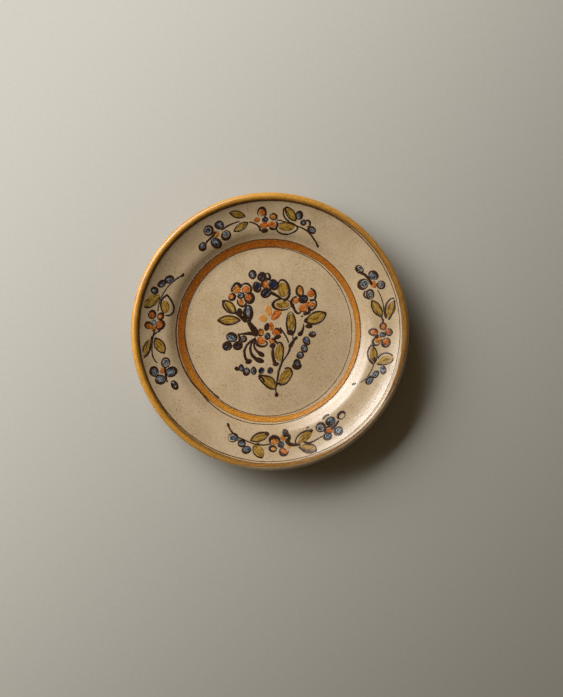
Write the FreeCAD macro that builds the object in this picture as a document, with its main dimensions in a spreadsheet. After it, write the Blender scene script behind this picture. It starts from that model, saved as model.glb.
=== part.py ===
import FreeCAD, Part
import os
import re
import sys
from math import cos, degrees, radians, sin

import Sketcher
from FreeCAD import Vector

# A thrown stoneware plate: a clay body, a coat of glaze on its face and on its back, painted bands,
# a bouquet on the floor of the well and four sprigs round the flange.
# Millimetres and degrees. Z points up out of the dish; the origin is under the middle of the foot.

sizes = {
    "floorRadius": 71.0,  # flat floor of the well
    "floorThick": 5.0,
    "wallThick": 5.0,
    "coveRun": 17.0,  # from the floor out to the steepest part of the wall
    "wallAngle": 36.0,
    "shoulderRun": 9.0,  # from the steepest part out to the flattest
    "shoulderAngle": 12.0,
    "flangeRun": 20.8,  # from the flattest part out to the lip
    "flangeAngle": 30.0,
    "lipCoveRadius": 2.0,
    "lipAngle": 60.0,
    "beadRadius": 3.45,  # rolled edge of the rim
    "footOverhang": 2.0,  # the foot stands this far outside the floor of the well
    "footWidth": 6.0,
    "footHeight": 4.0,
    "footRound": 0.8,
    "recessCove": 1.6,
    "dryHeight": 1.2,  # the wiped foot stays bare up to here
    "glazeThick": 0.45,
    "paintThick": 0.2,
    "bandInset": 6.0,  # from the floor out to the well band
    "bandWidth": 5.4,
    "bandLineWidth": 0.95,
    "innerLineGap": 0.65,
    "outerLineGap": 0.7,
    "rimLineGap": 0.25,  # from the lip in to the thin line under the rim
    "rimLineWidth": 0.95,
    "rimBandStart": 142.0,  # on the bead, counted round from level outward
    "rimBandEnd": 25.0,
    "bouquetReach": 71.0,  # the floor radius that the bouquet's places are given for
    "sprigReach": 33.75,  # the width outside the well's lines that the sprigs' places are given for
    "sprigRise": 4.0,  # from the flattest part out to the sprigs' middle line
    "sprigMargin": 0.3,  # the sprigs stop this short of the thin line under the rim
    "topSprigAngle": 94.5,
    "rightSprigAngle": 0.5,
    "bottomSprigAngle": -82.5,
    "leftSprigAngle": 177.5,
}

# Values worked out from the sizes: radii of the bends and the places of their centres.
shape_formulas = {
    "floorTop": "footHeight + floorThick",
    "coveBend": "coveRun / sin(wallAngle)",
    "shoulderBend": "shoulderRun / (sin(wallAngle) - sin(shoulderAngle))",
    "flangeBend": "flangeRun / (sin(flangeAngle) - sin(shoulderAngle))",
    "coveZ": "floorTop + coveBend",
    "shoulderX": "floorRadius + (coveBend + shoulderBend) * sin(wallAngle)",
    "shoulderZ": "coveZ - (coveBend + shoulderBend) * cos(wallAngle)",
    "flangeX": "shoulderX - (shoulderBend + flangeBend) * sin(shoulderAngle)",
    "flangeZ": "shoulderZ + (shoulderBend + flangeBend) * cos(shoulderAngle)",
    "lipX": "flangeX + (flangeBend - lipCoveRadius) * sin(flangeAngle)",
    "lipZ": "flangeZ - (flangeBend - lipCoveRadius) * cos(flangeAngle)",
    "beadX": "lipX + (lipCoveRadius + beadRadius) * sin(lipAngle)",
    "beadZ": "lipZ - (lipCoveRadius + beadRadius) * cos(lipAngle)",
    "beadReach": "sqrt((beadX - shoulderX)^2 + (beadZ - shoulderZ)^2)",
    "backSlope": "(atan((beadZ - shoulderZ) / (beadX - shoulderX))"
                 " - asin((shoulderBend - wallThick + beadRadius) / beadReach)) / 1 deg",
    "footRadius": "floorRadius + footOverhang",
    "footInner": "footRadius - footWidth",
    "bandStart": "floorRadius + bandInset",
    "bandEnd": "bandStart + bandWidth",
    "innerLineEnd": "bandStart - innerLineGap",
    "innerLineStart": "innerLineEnd - bandLineWidth",
    "outerLineStart": "bandEnd + outerLineGap",
    "outerLineEnd": "outerLineStart + bandLineWidth",
    "flangeEnd": "floorRadius + coveRun + shoulderRun + flangeRun",
    "rimLineEnd": "flangeEnd - rimLineGap",
    "rimLineStart": "rimLineEnd - rimLineWidth",
    "sprigEnd": "rimLineStart - sprigMargin",
    "sprigRadius": "floorRadius + coveRun + shoulderRun + sprigRise",
}

doc = FreeCAD.newDocument("PaintedPlate")
sheet = doc.addObject("Spreadsheet::Sheet", "Sizes")
for row, (word, number) in enumerate(sizes.items(), start=1):
    sheet.set(f"A{row}", word)
    sheet.set(f"B{row}", str(number))
    sheet.setAlias(f"B{row}", word)
doc.recompute()

size_words = re.compile(r"\b(" + "|".join(sizes) + r")\b")
shape_words = re.compile(r"\b(" + "|".join(shape_formulas) + r")\b")


def bound(formula):
    # Writes a formula's own words as the document's names.
    return shape_words.sub(r"Form.\1", size_words.sub(r"Sizes.\1", formula))


form = doc.addObject("App::VarSet", "Form")
for word, formula in shape_formulas.items():
    form.addProperty("App::PropertyFloat", word)
    form.setExpression(word, bound(formula))
doc.recompute()


def value(formula):
    answer = sheet.evalExpression(bound(formula))
    return float(getattr(answer, "Value", answer))


def around(centre, radius, angle):
    # The point at an angle on a bend, as two formulas.
    return f"({centre[0]} + ({radius}) * cos({angle}))", f"({centre[1]} + ({radius}) * sin({angle}))"


cove = ("floorRadius", "coveZ")
shoulder = ("shoulderX", "shoulderZ")
flange = ("flangeX", "flangeZ")
lip = ("lipX", "lipZ")
bead = ("beadX", "beadZ")


def face_run(skin):
    # The face from the axis out to the lip, a skin's thickness above the clay.
    # Each corner is given with the bend that follows it: centre, radius and way round.
    return [
        (("0", f"floorTop + {skin}"), None),
        (("floorRadius", f"floorTop + {skin}"), (cove, f"coveBend - ({skin})", 1)),
        (around(cove, f"coveBend - ({skin})", "wallAngle - 90"), (shoulder, f"shoulderBend + {skin}", -1)),
        (
            around(shoulder, f"shoulderBend + {skin}", "shoulderAngle + 90"),
            (flange, f"flangeBend - ({skin})", 1),
        ),
        (around(flange, f"flangeBend - ({skin})", "flangeAngle - 90"), (lip, f"lipCoveRadius - ({skin})", 1)),
        (around(lip, f"lipCoveRadius - ({skin})", "lipAngle - 90"), (bead, f"beadRadius + {skin}", -1)),
    ]


def back_run(skin):
    # The rest of the bead and the back, from the rim's widest point in to the top of the foot.
    under_cove = f"coveBend + wallThick + {skin}"
    under_shoulder = f"shoulderBend - wallThick - ({skin})"
    foot_side = f"footRadius + {skin}"
    foot_drop = f"sqrt(({under_cove})^2 - ({foot_side} - floorRadius)^2)"
    return [
        (around(bead, f"beadRadius + {skin}", "0"), (bead, f"beadRadius + {skin}", -1)),
        (around(bead, f"beadRadius + {skin}", "backSlope - 90"), None),
        (around(shoulder, under_shoulder, "backSlope + 90"), (shoulder, under_shoulder, 1)),
        (around(shoulder, under_shoulder, "wallAngle + 90"), (cove, under_cove, -1)),
        ((foot_side, f"coveZ - {foot_drop}"), None),
    ]


def reverse(run):
    # The same corners walked the other way, with each bend moved to its new first corner.
    corners = [corner for corner, bend in run][::-1]
    bends = [bend for corner, bend in run][-2::-1]
    turned = [bend and (bend[0], bend[1], -bend[2]) for bend in bends]
    return list(zip(corners, turned + [None]))


def origin_plane(body, role):
    return next(plane for plane in body.Origin.OriginFeatures if plane.Role == role)


def draw_section(body, name, run):
    # One closed sketch: a corner's place is bound by formulas, and so is the radius of each bend.
    sketch = body.newObject("Sketcher::SketchObject", name)
    sketch.AttachmentSupport = (origin_plane(body, "XZ_Plane"), [""])
    sketch.MapMode = "FlatFace"
    places = [Vector(value(corner[0]), value(corner[1]), 0) for corner, bend in run]
    ends = []
    for index, (corner, bend) in enumerate(run):
        here = places[index]
        there = places[(index + 1) % len(run)]
        if bend is None:
            edge = sketch.addGeometry(Part.LineSegment(here, there))
            ends.append((edge, 1, 2))
            continue
        centre, radius, turn = bend
        middle = Vector(value(centre[0]), value(centre[1]), 0)
        circle = Part.Circle(middle, Vector(0, 0, 1), value(radius))
        first, last = (here, there) if turn > 0 else (there, here)
        edge = sketch.addGeometry(Part.ArcOfCircle(circle, circle.parameter(first), circle.parameter(last)))
        ends.append((edge, 1, 2) if turn > 0 else (edge, 2, 1))
    for index, (corner, bend) in enumerate(run):
        edge, start, end = ends[index]
        after, after_start, after_end = ends[(index + 1) % len(run)]
        sketch.addConstraint(Sketcher.Constraint("Coincident", edge, end, after, after_start))
        for axis, kind, formula in ((-2, "DistanceX", corner[0]), (-1, "DistanceY", corner[1])):
            if formula == "0":
                sketch.addConstraint(Sketcher.Constraint("PointOnObject", edge, start, axis))
                continue
            size = sketch.addConstraint(Sketcher.Constraint(kind, -1, 1, edge, start, value(formula)))
            sketch.setExpression(f"Constraints[{size}]", bound(formula))
        if bend:
            size = sketch.addConstraint(Sketcher.Constraint("Radius", edge, value(bend[1])))
            sketch.setExpression(f"Constraints[{size}]", bound(bend[1]))
    return sketch


def turned_body(name, run):
    body = doc.addObject("PartDesign::Body", name)
    body.Label = name
    sketch = draw_section(body, f"{name}_section", run)
    doc.recompute()
    turning = body.newObject("PartDesign::Revolution", f"{name}_turning")
    turning.Profile = (sketch, [""])
    turning.ReferenceAxis = (sketch, ["V_Axis"])
    turning.Angle = 360
    sketch.Visibility = False
    doc.recompute()
    return body


def stoneware_body():
    foot_outer = ("footRadius - footRound", "footRound")
    foot_inner = ("footInner + footRound", "footRound")
    recess = ("footInner - recessCove", "footHeight - recessCove")
    foot = [
        (("footRadius", "footRound"), (foot_outer, "footRound", -1)),
        (("footRadius - footRound", "0"), None),
        (("footInner + footRound", "0"), (foot_inner, "footRound", -1)),
        (("footInner", "footRound"), None),
        (("footInner", "footHeight - recessCove"), (recess, "recessCove", 1)),
        (("footInner - recessCove", "footHeight"), None),
        (("0", "footHeight"), None),
    ]
    return turned_body("stoneware_body", face_run("0") + back_run("0") + foot)


def face_glaze():
    rim_out = [(around(bead, "beadRadius + glazeThick", "0"), None)]
    rim_in = [(around(bead, "beadRadius", "0"), None)]
    clay_side = reverse(face_run("0") + rim_in)
    return turned_body("face_glaze", face_run("glazeThick") + rim_out + clay_side)


def back_glaze():
    dry_edge = [(("footRadius + glazeThick", "dryHeight"), None), (("footRadius", "dryHeight"), None)]
    return turned_body("back_glaze", back_run("glazeThick") + dry_edge + reverse(back_run("0")))


def recess_glaze():
    recess = ("footInner - recessCove", "footHeight - recessCove")
    run = [
        (("0", "footHeight"), None),
        (("footInner - recessCove", "footHeight"), (recess, "recessCove", -1)),
        (("footInner", "footHeight - recessCove"), None),
        (("footInner", "dryHeight"), None),
        (("footInner - glazeThick", "dryHeight"), None),
        (("footInner - glazeThick", "footHeight - recessCove"), (recess, "recessCove - glazeThick", 1)),
        (("footInner - recessCove", "footHeight - glazeThick"), None),
        (("0", "footHeight - glazeThick"), None),
    ]
    return turned_body("recess_glaze", run)


def painted_ring(name, centre, low, high, start, end, turn):
    # A band of paint lying on the glaze of one bend, between two angles round the bend's centre.
    run = [
        (around(centre, low, start), (centre, low, turn)),
        (around(centre, low, end), None),
        (around(centre, high, end), (centre, high, -turn)),
        (around(centre, high, start), None),
    ]
    return turned_body(name, run)


def face_ring(name, centre, bend, inner, outer):
    # A ring on one of the face's bends, between two of the plate's own radii.
    low = f"{bend} - glazeThick"
    high = f"{bend} - glazeThick - paintThick"
    start, end = (f"(asin(({radius} - {centre[0]}) / ({low})) / 1 deg - 90)" for radius in (inner, outer))
    return painted_ring(name, centre, low, high, start, end, 1)


def rim_band():
    low = "beadRadius + glazeThick"
    high = "beadRadius + glazeThick + paintThick"
    return painted_ring("rim_band", bead, low, high, "rimBandStart", "rimBandEnd", -1)


def paint_skin():
    # Every brush mark is cut out of this skin, which lies on the face's glaze short of the rim's line.
    # Its bends are turned into splines, because round marks trim cleanly against those.
    low, high = "glazeThick", "(glazeThick + paintThick)"
    stop = "(asin((sprigEnd - flangeX) / flangeBend) / 1 deg - 90)"
    low_end = [(around(flange, f"flangeBend - {low}", stop), None)]
    high_end = [(around(flange, f"flangeBend - {high}", stop), None)]
    outside = face_run(high)[:4] + high_end
    turned = turned_body("paint_skin", outside + reverse(face_run(low)[:4] + low_end))
    skin = doc.addObject("Part::Feature", "paint_skin_splines")
    skin.Shape = turned.Shape.toNurbs()
    return skin


class Brush:
    # Gathers flat brush marks by colour. A mark's own millimetres are laid on the plate by place.
    def __init__(self, place, scale):
        self.place = place
        self.scale = scale
        self.marks = {}

    def add(self, colour, mark):
        self.marks.setdefault(colour, []).append(mark)

    def ellipse(self, x, y, length, width, tilt):
        across, up, turn = self.place(x, y)
        long_half = max(length, width) / 2 * self.scale
        short_half = min(length, width) / 2 * self.scale
        mark = Part.Face(Part.Wire(Part.Ellipse(Vector(0, 0, 0), long_half, short_half).toShape()))
        mark.rotate(Vector(0, 0, 0), Vector(0, 0, 1), turn + tilt + (0 if length >= width else 90))
        mark.translate(Vector(across, up, 0))
        return mark

    def pointed(self, base, tip, width):
        ends = [Vector(*self.place(*end)[:2], 0) for end in (base, tip)]
        middle = (ends[0] + ends[1]) / 2
        side = (ends[1] - ends[0]).cross(Vector(0, 0, 1)).normalize() * width / 2 * self.scale
        sides = [Part.Arc(ends[0], middle + side, ends[1]), Part.Arc(ends[1], middle - side, ends[0])]
        return Part.Face(Part.Wire([arc.toShape() for arc in sides]))

    def dab(self, colour, x, y, length, width, tilt=0):
        self.add(colour, self.ellipse(x, y, length, width, tilt))

    def ring(self, x, y, length, width, tilt=0, line=1.4, heavy=270, lean=0.4):
        # An outline that is thicker on its heavy side, and open opposite when lean is over 1.
        shift = lean * line
        hole_x = x - shift * cos(radians(heavy))
        hole_y = y - shift * sin(radians(heavy))
        hole = self.ellipse(hole_x, hole_y, length - 2 * line, width - 2 * line, tilt)
        self.add("outlines", self.ellipse(x, y, length, width, tilt).cut(hole))
        return hole_x, hole_y

    def petal(self, colour, x, y, length, width, tilt=0, line=1.6, heavy=270, lean=0.4, core=0.7):
        hole_x, hole_y = self.ring(x, y, length, width, tilt, line, heavy, lean)
        self.dab(colour, hole_x, hole_y, (length - 2 * line) * core, (width - 2 * line) * core, tilt)

    def leaf(self, base, tip, width, line=1.2, inset=1.0, slip=(0, 0)):
        # An outline with pointed ends and its colour inside, which slip sets off to one side.
        # A pointed shape's outline is wider along its length than across it, by the stretch.
        stretch = 1.7
        reach = Vector(tip[0] - base[0], tip[1] - base[1], 0).normalize()
        close = line * stretch
        low = (base[0] + reach.x * close, base[1] + reach.y * close)
        high = (tip[0] - reach.x * close, tip[1] - reach.y * close)
        hole = self.pointed(low, high, width - 2 * line)
        self.add("outlines", self.pointed(base, tip, width).cut(hole))
        fill_low = (low[0] + slip[0] + reach.x * inset, low[1] + slip[1] + reach.y * inset)
        fill_high = (high[0] + slip[0] - reach.x * inset, high[1] + slip[1] - reach.y * inset)
        self.add("leaf", self.pointed(fill_low, fill_high, width - 2 * line - inset))

    def fill(self, base, tip, width):
        self.add("leaf", self.pointed(base, tip, width))

    def stroke(self, colour, points, start, end):
        # One pull of the brush through a few points, its width changing evenly from start to end.
        spots = [Vector(*self.place(*point)[:2], 0) for point in points]
        path = Part.BSplineCurve()
        path.interpolate(spots)
        steps = 2 * len(points)
        span = path.LastParameter - path.FirstParameter
        left, right = [], []
        for step in range(steps + 1):
            share = step / steps
            along = path.FirstParameter + span * share
            half = (start + (end - start) * share) / 2 * self.scale
            ahead = Vector(*path.tangent(along)[0])
            side = Vector(-ahead.y, ahead.x, 0) * half
            left.append(path.value(along) + side)
            right.append(path.value(along) - side)
        first_push = Vector(*path.tangent(path.FirstParameter)[0]) * start / 2 * self.scale
        last_push = Vector(*path.tangent(path.LastParameter)[0]) * end / 2 * self.scale
        left_side, right_side = Part.BSplineCurve(), Part.BSplineCurve()
        left_side.interpolate(left)
        right_side.interpolate(right[::-1])
        far_cap = Part.Arc(left[-1], spots[-1] + last_push, right[-1])
        near_cap = Part.Arc(right[0], spots[0] - first_push, left[0])
        edges = [curve.toShape() for curve in (left_side, far_cap, right_side, near_cap)]
        self.add(colour, Part.Face(Part.Wire(edges)))


def top_blossom(brush):
    brush.petal("cobalt", -11.8, 40.2, 10.2, 7.8, 105, line=1.9, heavy=250, lean=0.5, core=0.85)
    brush.petal("cobalt", -3.6, 35.2, 10.6, 8.8, 38, line=2.2, heavy=60, lean=0.2, core=0.8)
    brush.petal("cobalt", 3.2, 42.4, 10.2, 8.8, 112, line=2.0, heavy=300, lean=0.2, core=0.95)
    brush.petal("cobalt", -7.4, 49.7, 8.6, 8.2, 60, line=2.4, heavy=60, lean=0.4, core=0.8)
    brush.ring(-1.9, 49.8, 7.2, 5.6, 110, line=1.7, heavy=300, lean=0.5)
    brush.dab("orange", -4.7, 43.0, 6.2, 5.2, 100)
    brush.ring(-5.2, 43.4, 7.6, 6.6, 110, line=0.9, heavy=150, lean=1.4)
    brush.petal("blue", -15.8, 51.8, 8.4, 7.2, 100, line=1.7, heavy=20, lean=0.3, core=0.6)
    brush.stroke("stems", [(1.0, 35.4), (5.0, 33.2), (10.4, 29.8)], 3.0, 2.0)


def left_blossom(brush):
    brush.dab("blue", -26.4, 32.5, 4.2, 3.6, 20)
    brush.ring(-26.4, 32.6, 6.8, 5.6, 20, line=1.1, heavy=330, lean=0.5)
    brush.dab("orange", -30.2, 38.0, 6.2, 5.4, 20)
    brush.stroke("outlines", [(-34.6, 36.4), (-33.8, 40.6), (-30.6, 43.6), (-27.2, 41.6)], 1.3, 2.8)
    brush.dab("orange", -22.2, 38.2, 5.8, 5.2, 10)
    route = [(-26.2, 40.2), (-24.4, 43.0), (-21.0, 43.5), (-17.6, 40.6), (-17.6, 36.6)]
    brush.stroke("outlines", route, 1.2, 2.0)
    brush.petal("orange", -18.6, 30.4, 10.8, 9.8, 100, line=2.1, heavy=330, lean=0.7, core=0.8)
    brush.dab("orange", -26.3, 26.6, 5.2, 3.8, 90)
    brush.stroke("outlines", [(-29.2, 28.8), (-28.4, 24.6), (-25.6, 22.8), (-22.0, 25.2)], 1.0, 1.8)
    brush.petal("orange", -34.2, 31.4, 7.4, 6.8, 60, line=1.4, heavy=330, lean=0.9, core=0.95)


def left_leaves(brush):
    brush.leaf((-30.8, 16.2), (-43.4, 28.4), 9.4, line=1.2, inset=0.4, slip=(0.5, 0.4))
    brush.stroke("outlines", [(-41.2, 26.6), (-39.4, 22.4), (-36.0, 18.2)], 0.9, 1.1)
    brush.leaf((-26.4, 10.3), (-48.2, 10.1), 9.2, line=1.3, inset=0.4, slip=(0, 0.4))
    brush.dab("outlines", -29.4, 16.8, 4.4, 3.6, 40)


def bud(brush):
    brush.petal("blue", -19.9, 16.4, 15.8, 9.4, 88, line=3.0, heavy=270, lean=0.7, core=1.0)
    brush.dab("outlines", -27.4, 18.0, 6.6, 4.8, 110)
    brush.stroke("outlines", [(-29.6, 15.4), (-26.0, 13.2), (-22.4, 10.4)], 1.8, 4.4)
    brush.stroke("stems", [(-19.4, 9.6), (-17.4, 5.6), (-15.2, 2.6), (-13.2, -1.4)], 3.4, 6.4)
    brush.stroke("stems", [(-13.8, -1.8), (-20.2, -1.8), (-27.6, -2.6)], 4.4, 1.0)


def top_leaves(brush):
    brush.dab("leaf", 11.6, 37.8, 12.2, 9.0, 100)
    route = [(7.6, 41.6), (10.8, 46.8), (14.4, 45.2), (17.2, 39.4), (17.6, 34.2), (13.4, 28.6)]
    brush.stroke("outlines", route, 1.2, 2.4)
    brush.dab("leaf", 11.2, 24.5, 11.8, 5.6, 0)
    brush.ring(10.2, 24.5, 17.6, 11.4, 0, line=1.3, heavy=180, lean=0.9)
    brush.dab("leaf", 19.0, 8.8, 14.0, 6.2, 92)
    brush.ring(19.1, 7.2, 21.6, 9.4, 92, line=1.3, heavy=270, lean=0.8)
    brush.dab("outlines", 18.4, -0.8, 6.2, 4.6, 0)


def free_dabs(brush):
    brush.dab("ochre", -6.3, 11.9, 7.4, 5.8, -20)
    brush.dab("ochre", -1.4, 19.0, 9.2, 5.8, 100)
    brush.dab("orange", 5.7, 15.6, 11.2, 6.0, 48)


def right_blossom(brush):
    brush.petal("cobalt", 30.3, 29.4, 8.8, 7.8, 20, line=2.2, heavy=240, lean=0.4, core=0.9)
    brush.petal("orange", 26.9, 36.6, 11.0, 7.6, 95, line=1.7, heavy=200, lean=0.3, core=0.95)
    brush.dab("orange", 37.0, 34.4, 5.8, 5.2, 0)
    brush.stroke("outlines", [(37.2, 39.0), (40.4, 36.8), (41.4, 33.2), (40.2, 29.4), (37.0, 28.4)], 1.2, 2.0)
    brush.dab("orange", 35.9, 24.4, 9.2, 4.0, 0)
    brush.stroke("outlines", [(40.6, 28.6), (42.0, 25.0), (40.2, 21.2), (36.0, 19.8), (35.4, 22.0)], 1.1, 2.4)
    brush.dab("orange", 29.8, 21.0, 6.8, 5.6, -20)
    brush.stroke("outlines", [(20.0, 23.2), (22.6, 19.4), (24.8, 16.6), (27.4, 18.0)], 2.6, 1.4)
    brush.stroke("outlines", [(36.2, 20.2), (34.6, 17.2), (31.6, 16.2)], 2.6, 3.0)
    brush.dab("orange", 23.3, 28.3, 4.6, 4.4, 0)
    brush.stroke("outlines", [(23.6, 31.6), (20.0, 29.2), (19.2, 26.2), (20.8, 24.2)], 1.1, 2.6)
    brush.dab("outlines", 29.2, 13.8, 1.7, 1.5, 0)


def right_leaf(brush):
    brush.leaf((32.0, 8.2), (51.4, 16.6), 11.6, line=1.1, inset=0.5, slip=(-0.4, 0.4))
    brush.dab("outlines", 35.3, 4.9, 6.4, 4.0, 0)
    brush.dab("outlines", 32.6, 10.3, 4.6, 3.0, 55)
    brush.dab("outlines", 50.2, 16.5, 3.0, 1.8, -60)


def centre_blossom(brush):
    brush.petal("blue", -2.2, -4.2, 6.4, 5.4, 80, line=1.2, heavy=300, lean=0.3, core=0.95)
    brush.dab("outlines", -2.9, 4.2, 7.4, 4.6, 75)
    brush.dab("orange", 0.9, 4.6, 6.4, 3.8, 100)
    brush.dab("orange", 5.4, -1.0, 6.4, 5.0, -20)
    brush.stroke("outlines", [(4.6, 2.4), (8.2, 2.2), (9.8, -1.0)], 1.3, 2.0)
    brush.dab("outlines", 6.7, -4.9, 6.6, 4.0, 20)
    brush.dab("orange", 1.8, -8.4, 4.4, 4.2, 30)
    brush.stroke("outlines", [(2.4, -6.6), (4.4, -8.0), (5.8, -10.0)], 1.6, 1.8)
    brush.dab("outlines", 2.4, -12.6, 5.4, 4.6, 10)
    brush.dab("orange", -8.2, -8.2, 7.4, 5.0, -25)
    route = [(-12.6, -9.6), (-10.4, -12.6), (-6.0, -13.4), (-3.0, -12.0), (-3.8, -8.6)]
    brush.stroke("outlines", route, 2.6, 1.1)
    brush.petal("orange", -8.6, -0.9, 7.0, 6.2, 100, line=0.9, heavy=190, lean=0.8, core=0.95)


def left_berries(brush):
    brush.petal("blue", -34.6, -5.0, 10.4, 8.8, -18, line=1.4, heavy=60, lean=0.8, core=0.75)
    brush.petal("blue", -23.9, -6.8, 6.6, 6.0, 60, line=1.3, heavy=330, lean=0.6, core=0.5)
    brush.petal("cobalt", -38.8, -13.0, 9.0, 8.4, 20, line=2.4, heavy=80, lean=0.6, core=0.8)
    brush.petal("cobalt", -29.2, -12.8, 9.2, 8.2, 20, line=2.8, heavy=20, lean=0.4, core=0.9)
    brush.stroke("outlines", [(-28.2, -2.8), (-27.6, -5.6), (-28.0, -8.8)], 2.2, 1.6)


def tendrils(brush):
    route = [(-13.6, -6.4), (-19.2, -10.2), (-22.8, -15.6), (-23.0, -20.6), (-21.6, -25.2)]
    brush.stroke("stems", route, 2.0, 2.4)
    brush.dab("stems", -19.4, -27.2, 6.2, 4.4, 20)
    brush.stroke("stems", [(-16.2, -9.4), (-17.8, -14.6), (-16.8, -20.0), (-13.6, -24.0)], 1.7, 3.0)
    brush.dab("stems", -9.8, -26.0, 9.4, 4.6, -18)
    brush.stroke("stems", [(-14.6, -10.0), (-13.4, -15.6), (-10.4, -18.8)], 1.5, 2.4)
    brush.dab("stems", -8.0, -20.6, 7.0, 4.2, -35)
    brush.dab("stems", -13.8, -8.0, 4.6, 3.4, -40)


def stalks(brush):
    brush.stroke("stems", [(9.6, 3.2), (12.2, -0.8), (15.4, -6.0), (16.8, -9.8)], 1.3, 1.2)
    brush.stroke("stems", [(30.6, 7.0), (30.2, 3.6), (29.2, 0.6), (27.4, -2.0)], 0.8, 3.4)
    brush.dab("stems", 27.4, -2.0, 5.2, 4.0, 40)
    brush.dab("stems", 23.2, -6.2, 4.8, 2.8, 42)
    brush.stroke("stems", [(21.6, -7.6), (20.6, -9.6), (18.6, -12.6)], 2.4, 4.0)
    brush.stroke("stems", [(20.8, -3.2), (20.7, -6.6)], 0.9, 1.0)
    brush.stroke("stems", [(18.2, -13.6), (16.6, -19.2), (13.6, -24.0), (11.0, -27.6)], 2.2, 1.2)
    route = [(11.2, -26.0), (9.6, -31.0), (7.8, -36.4), (6.8, -42.6), (5.4, -49.0), (5.4, -54.8)]
    brush.stroke("stems", route, 2.2, 1.3)
    brush.dab("stems", 6.0, -57.2, 4.2, 3.7, 90)
    brush.stroke("stems", [(5.6, -49.4), (8.0, -47.0), (9.6, -48.2)], 1.6, 2.2)


def lower_leaves(brush):
    brush.fill((8.0, -26.4), (8.8, -11.4), 7.6)
    brush.stroke("outlines", [(2.9, -14.6), (2.4, -19.6), (3.4, -25.4), (4.6, -28.6)], 2.0, 3.0)
    brush.dab("outlines", 5.2, -29.4, 5.4, 3.8, 0)
    route = [(6.6, -11.2), (9.0, -9.8), (11.4, -12.2), (12.0, -18.4), (11.2, -24.4), (10.2, -28.0)]
    brush.stroke("outlines", route, 1.2, 1.5)
    brush.fill((8.6, -46.6), (19.4, -34.0), 9.0)
    route = [(9.6, -48.2), (13.8, -47.4), (17.4, -43.8), (19.9, -38.8), (19.4, -34.6), (13.6, -33.6)]
    brush.stroke("outlines", route, 1.3, 1.2)
    brush.fill((4.4, -50.4), (-7.4, -40.6), 7.6)
    brush.stroke("outlines", [(-9.8, -42.6), (-5.6, -47.4), (-0.6, -51.4), (4.4, -52.0)], 1.3, 1.1)
    route = [(-9.6, -39.6), (-4.6, -40.2), (0.4, -41.4), (3.8, -44.4), (4.4, -47.6)]
    brush.stroke("outlines", route, 1.6, 0.9)
    brush.stroke("outlines", [(-10.4, -40.8), (-7.2, -42.2), (-5.2, -45.2)], 1.0, 1.8)


def falling_berries(brush):
    brush.petal("blue", 38.4, -2.6, 6.8, 5.4, 0, line=1.4, heavy=250, lean=0.9, core=0.7)
    brush.petal("blue", 33.1, -8.6, 8.4, 6.4, 115, line=1.2, heavy=290, lean=0.7, core=0.9)
    brush.petal("blue", 31.2, -15.4, 7.4, 6.2, 110, line=1.3, heavy=290, lean=0.3, core=0.9)
    brush.petal("blue", 27.4, -21.4, 7.0, 6.4, 40, line=1.4, heavy=290, lean=0.4, core=0.9)
    brush.petal("blue", 24.4, -28.0, 6.4, 6.4, 0, line=1.5, heavy=90, lean=0.6, core=0.8)
    brush.ring(24.4, -31.2, 8.6, 6.8, 0, line=1.7, heavy=290, lean=1.1)


def low_berries(brush):
    brush.dab("outlines", -29.9, -33.7, 4.6, 3.4, -20)
    brush.petal("blue", -26.0, -32.9, 6.6, 4.6, 100, line=1.2, heavy=60, lean=0.7, core=0.8)
    brush.petal("blue", -21.4, -36.4, 7.4, 6.6, 70, line=1.4, heavy=260, lean=0.6, core=0.6)
    brush.petal("blue", -14.8, -35.6, 7.4, 5.2, 95, line=1.2, heavy=20, lean=0.6, core=0.95)
    brush.petal("cobalt", -7.8, -35.4, 5.9, 5.3, 60, line=0.9, heavy=300, lean=0.3, core=0.95)
    brush.petal("cobalt", 0.2, -35.3, 6.0, 5.2, 80, line=1.1, heavy=60, lean=0.5, core=0.9)


def bouquet(brush):
    top_blossom(brush)
    left_blossom(brush)
    left_leaves(brush)
    bud(brush)
    top_leaves(brush)
    free_dabs(brush)
    right_blossom(brush)
    right_leaf(brush)
    centre_blossom(brush)
    left_berries(brush)
    tendrils(brush)
    stalks(brush)
    lower_leaves(brush)
    falling_berries(brush)
    low_berries(brush)


# The sprigs' own places: along the flange clockwise, and out from the sprigs' middle line.

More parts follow.
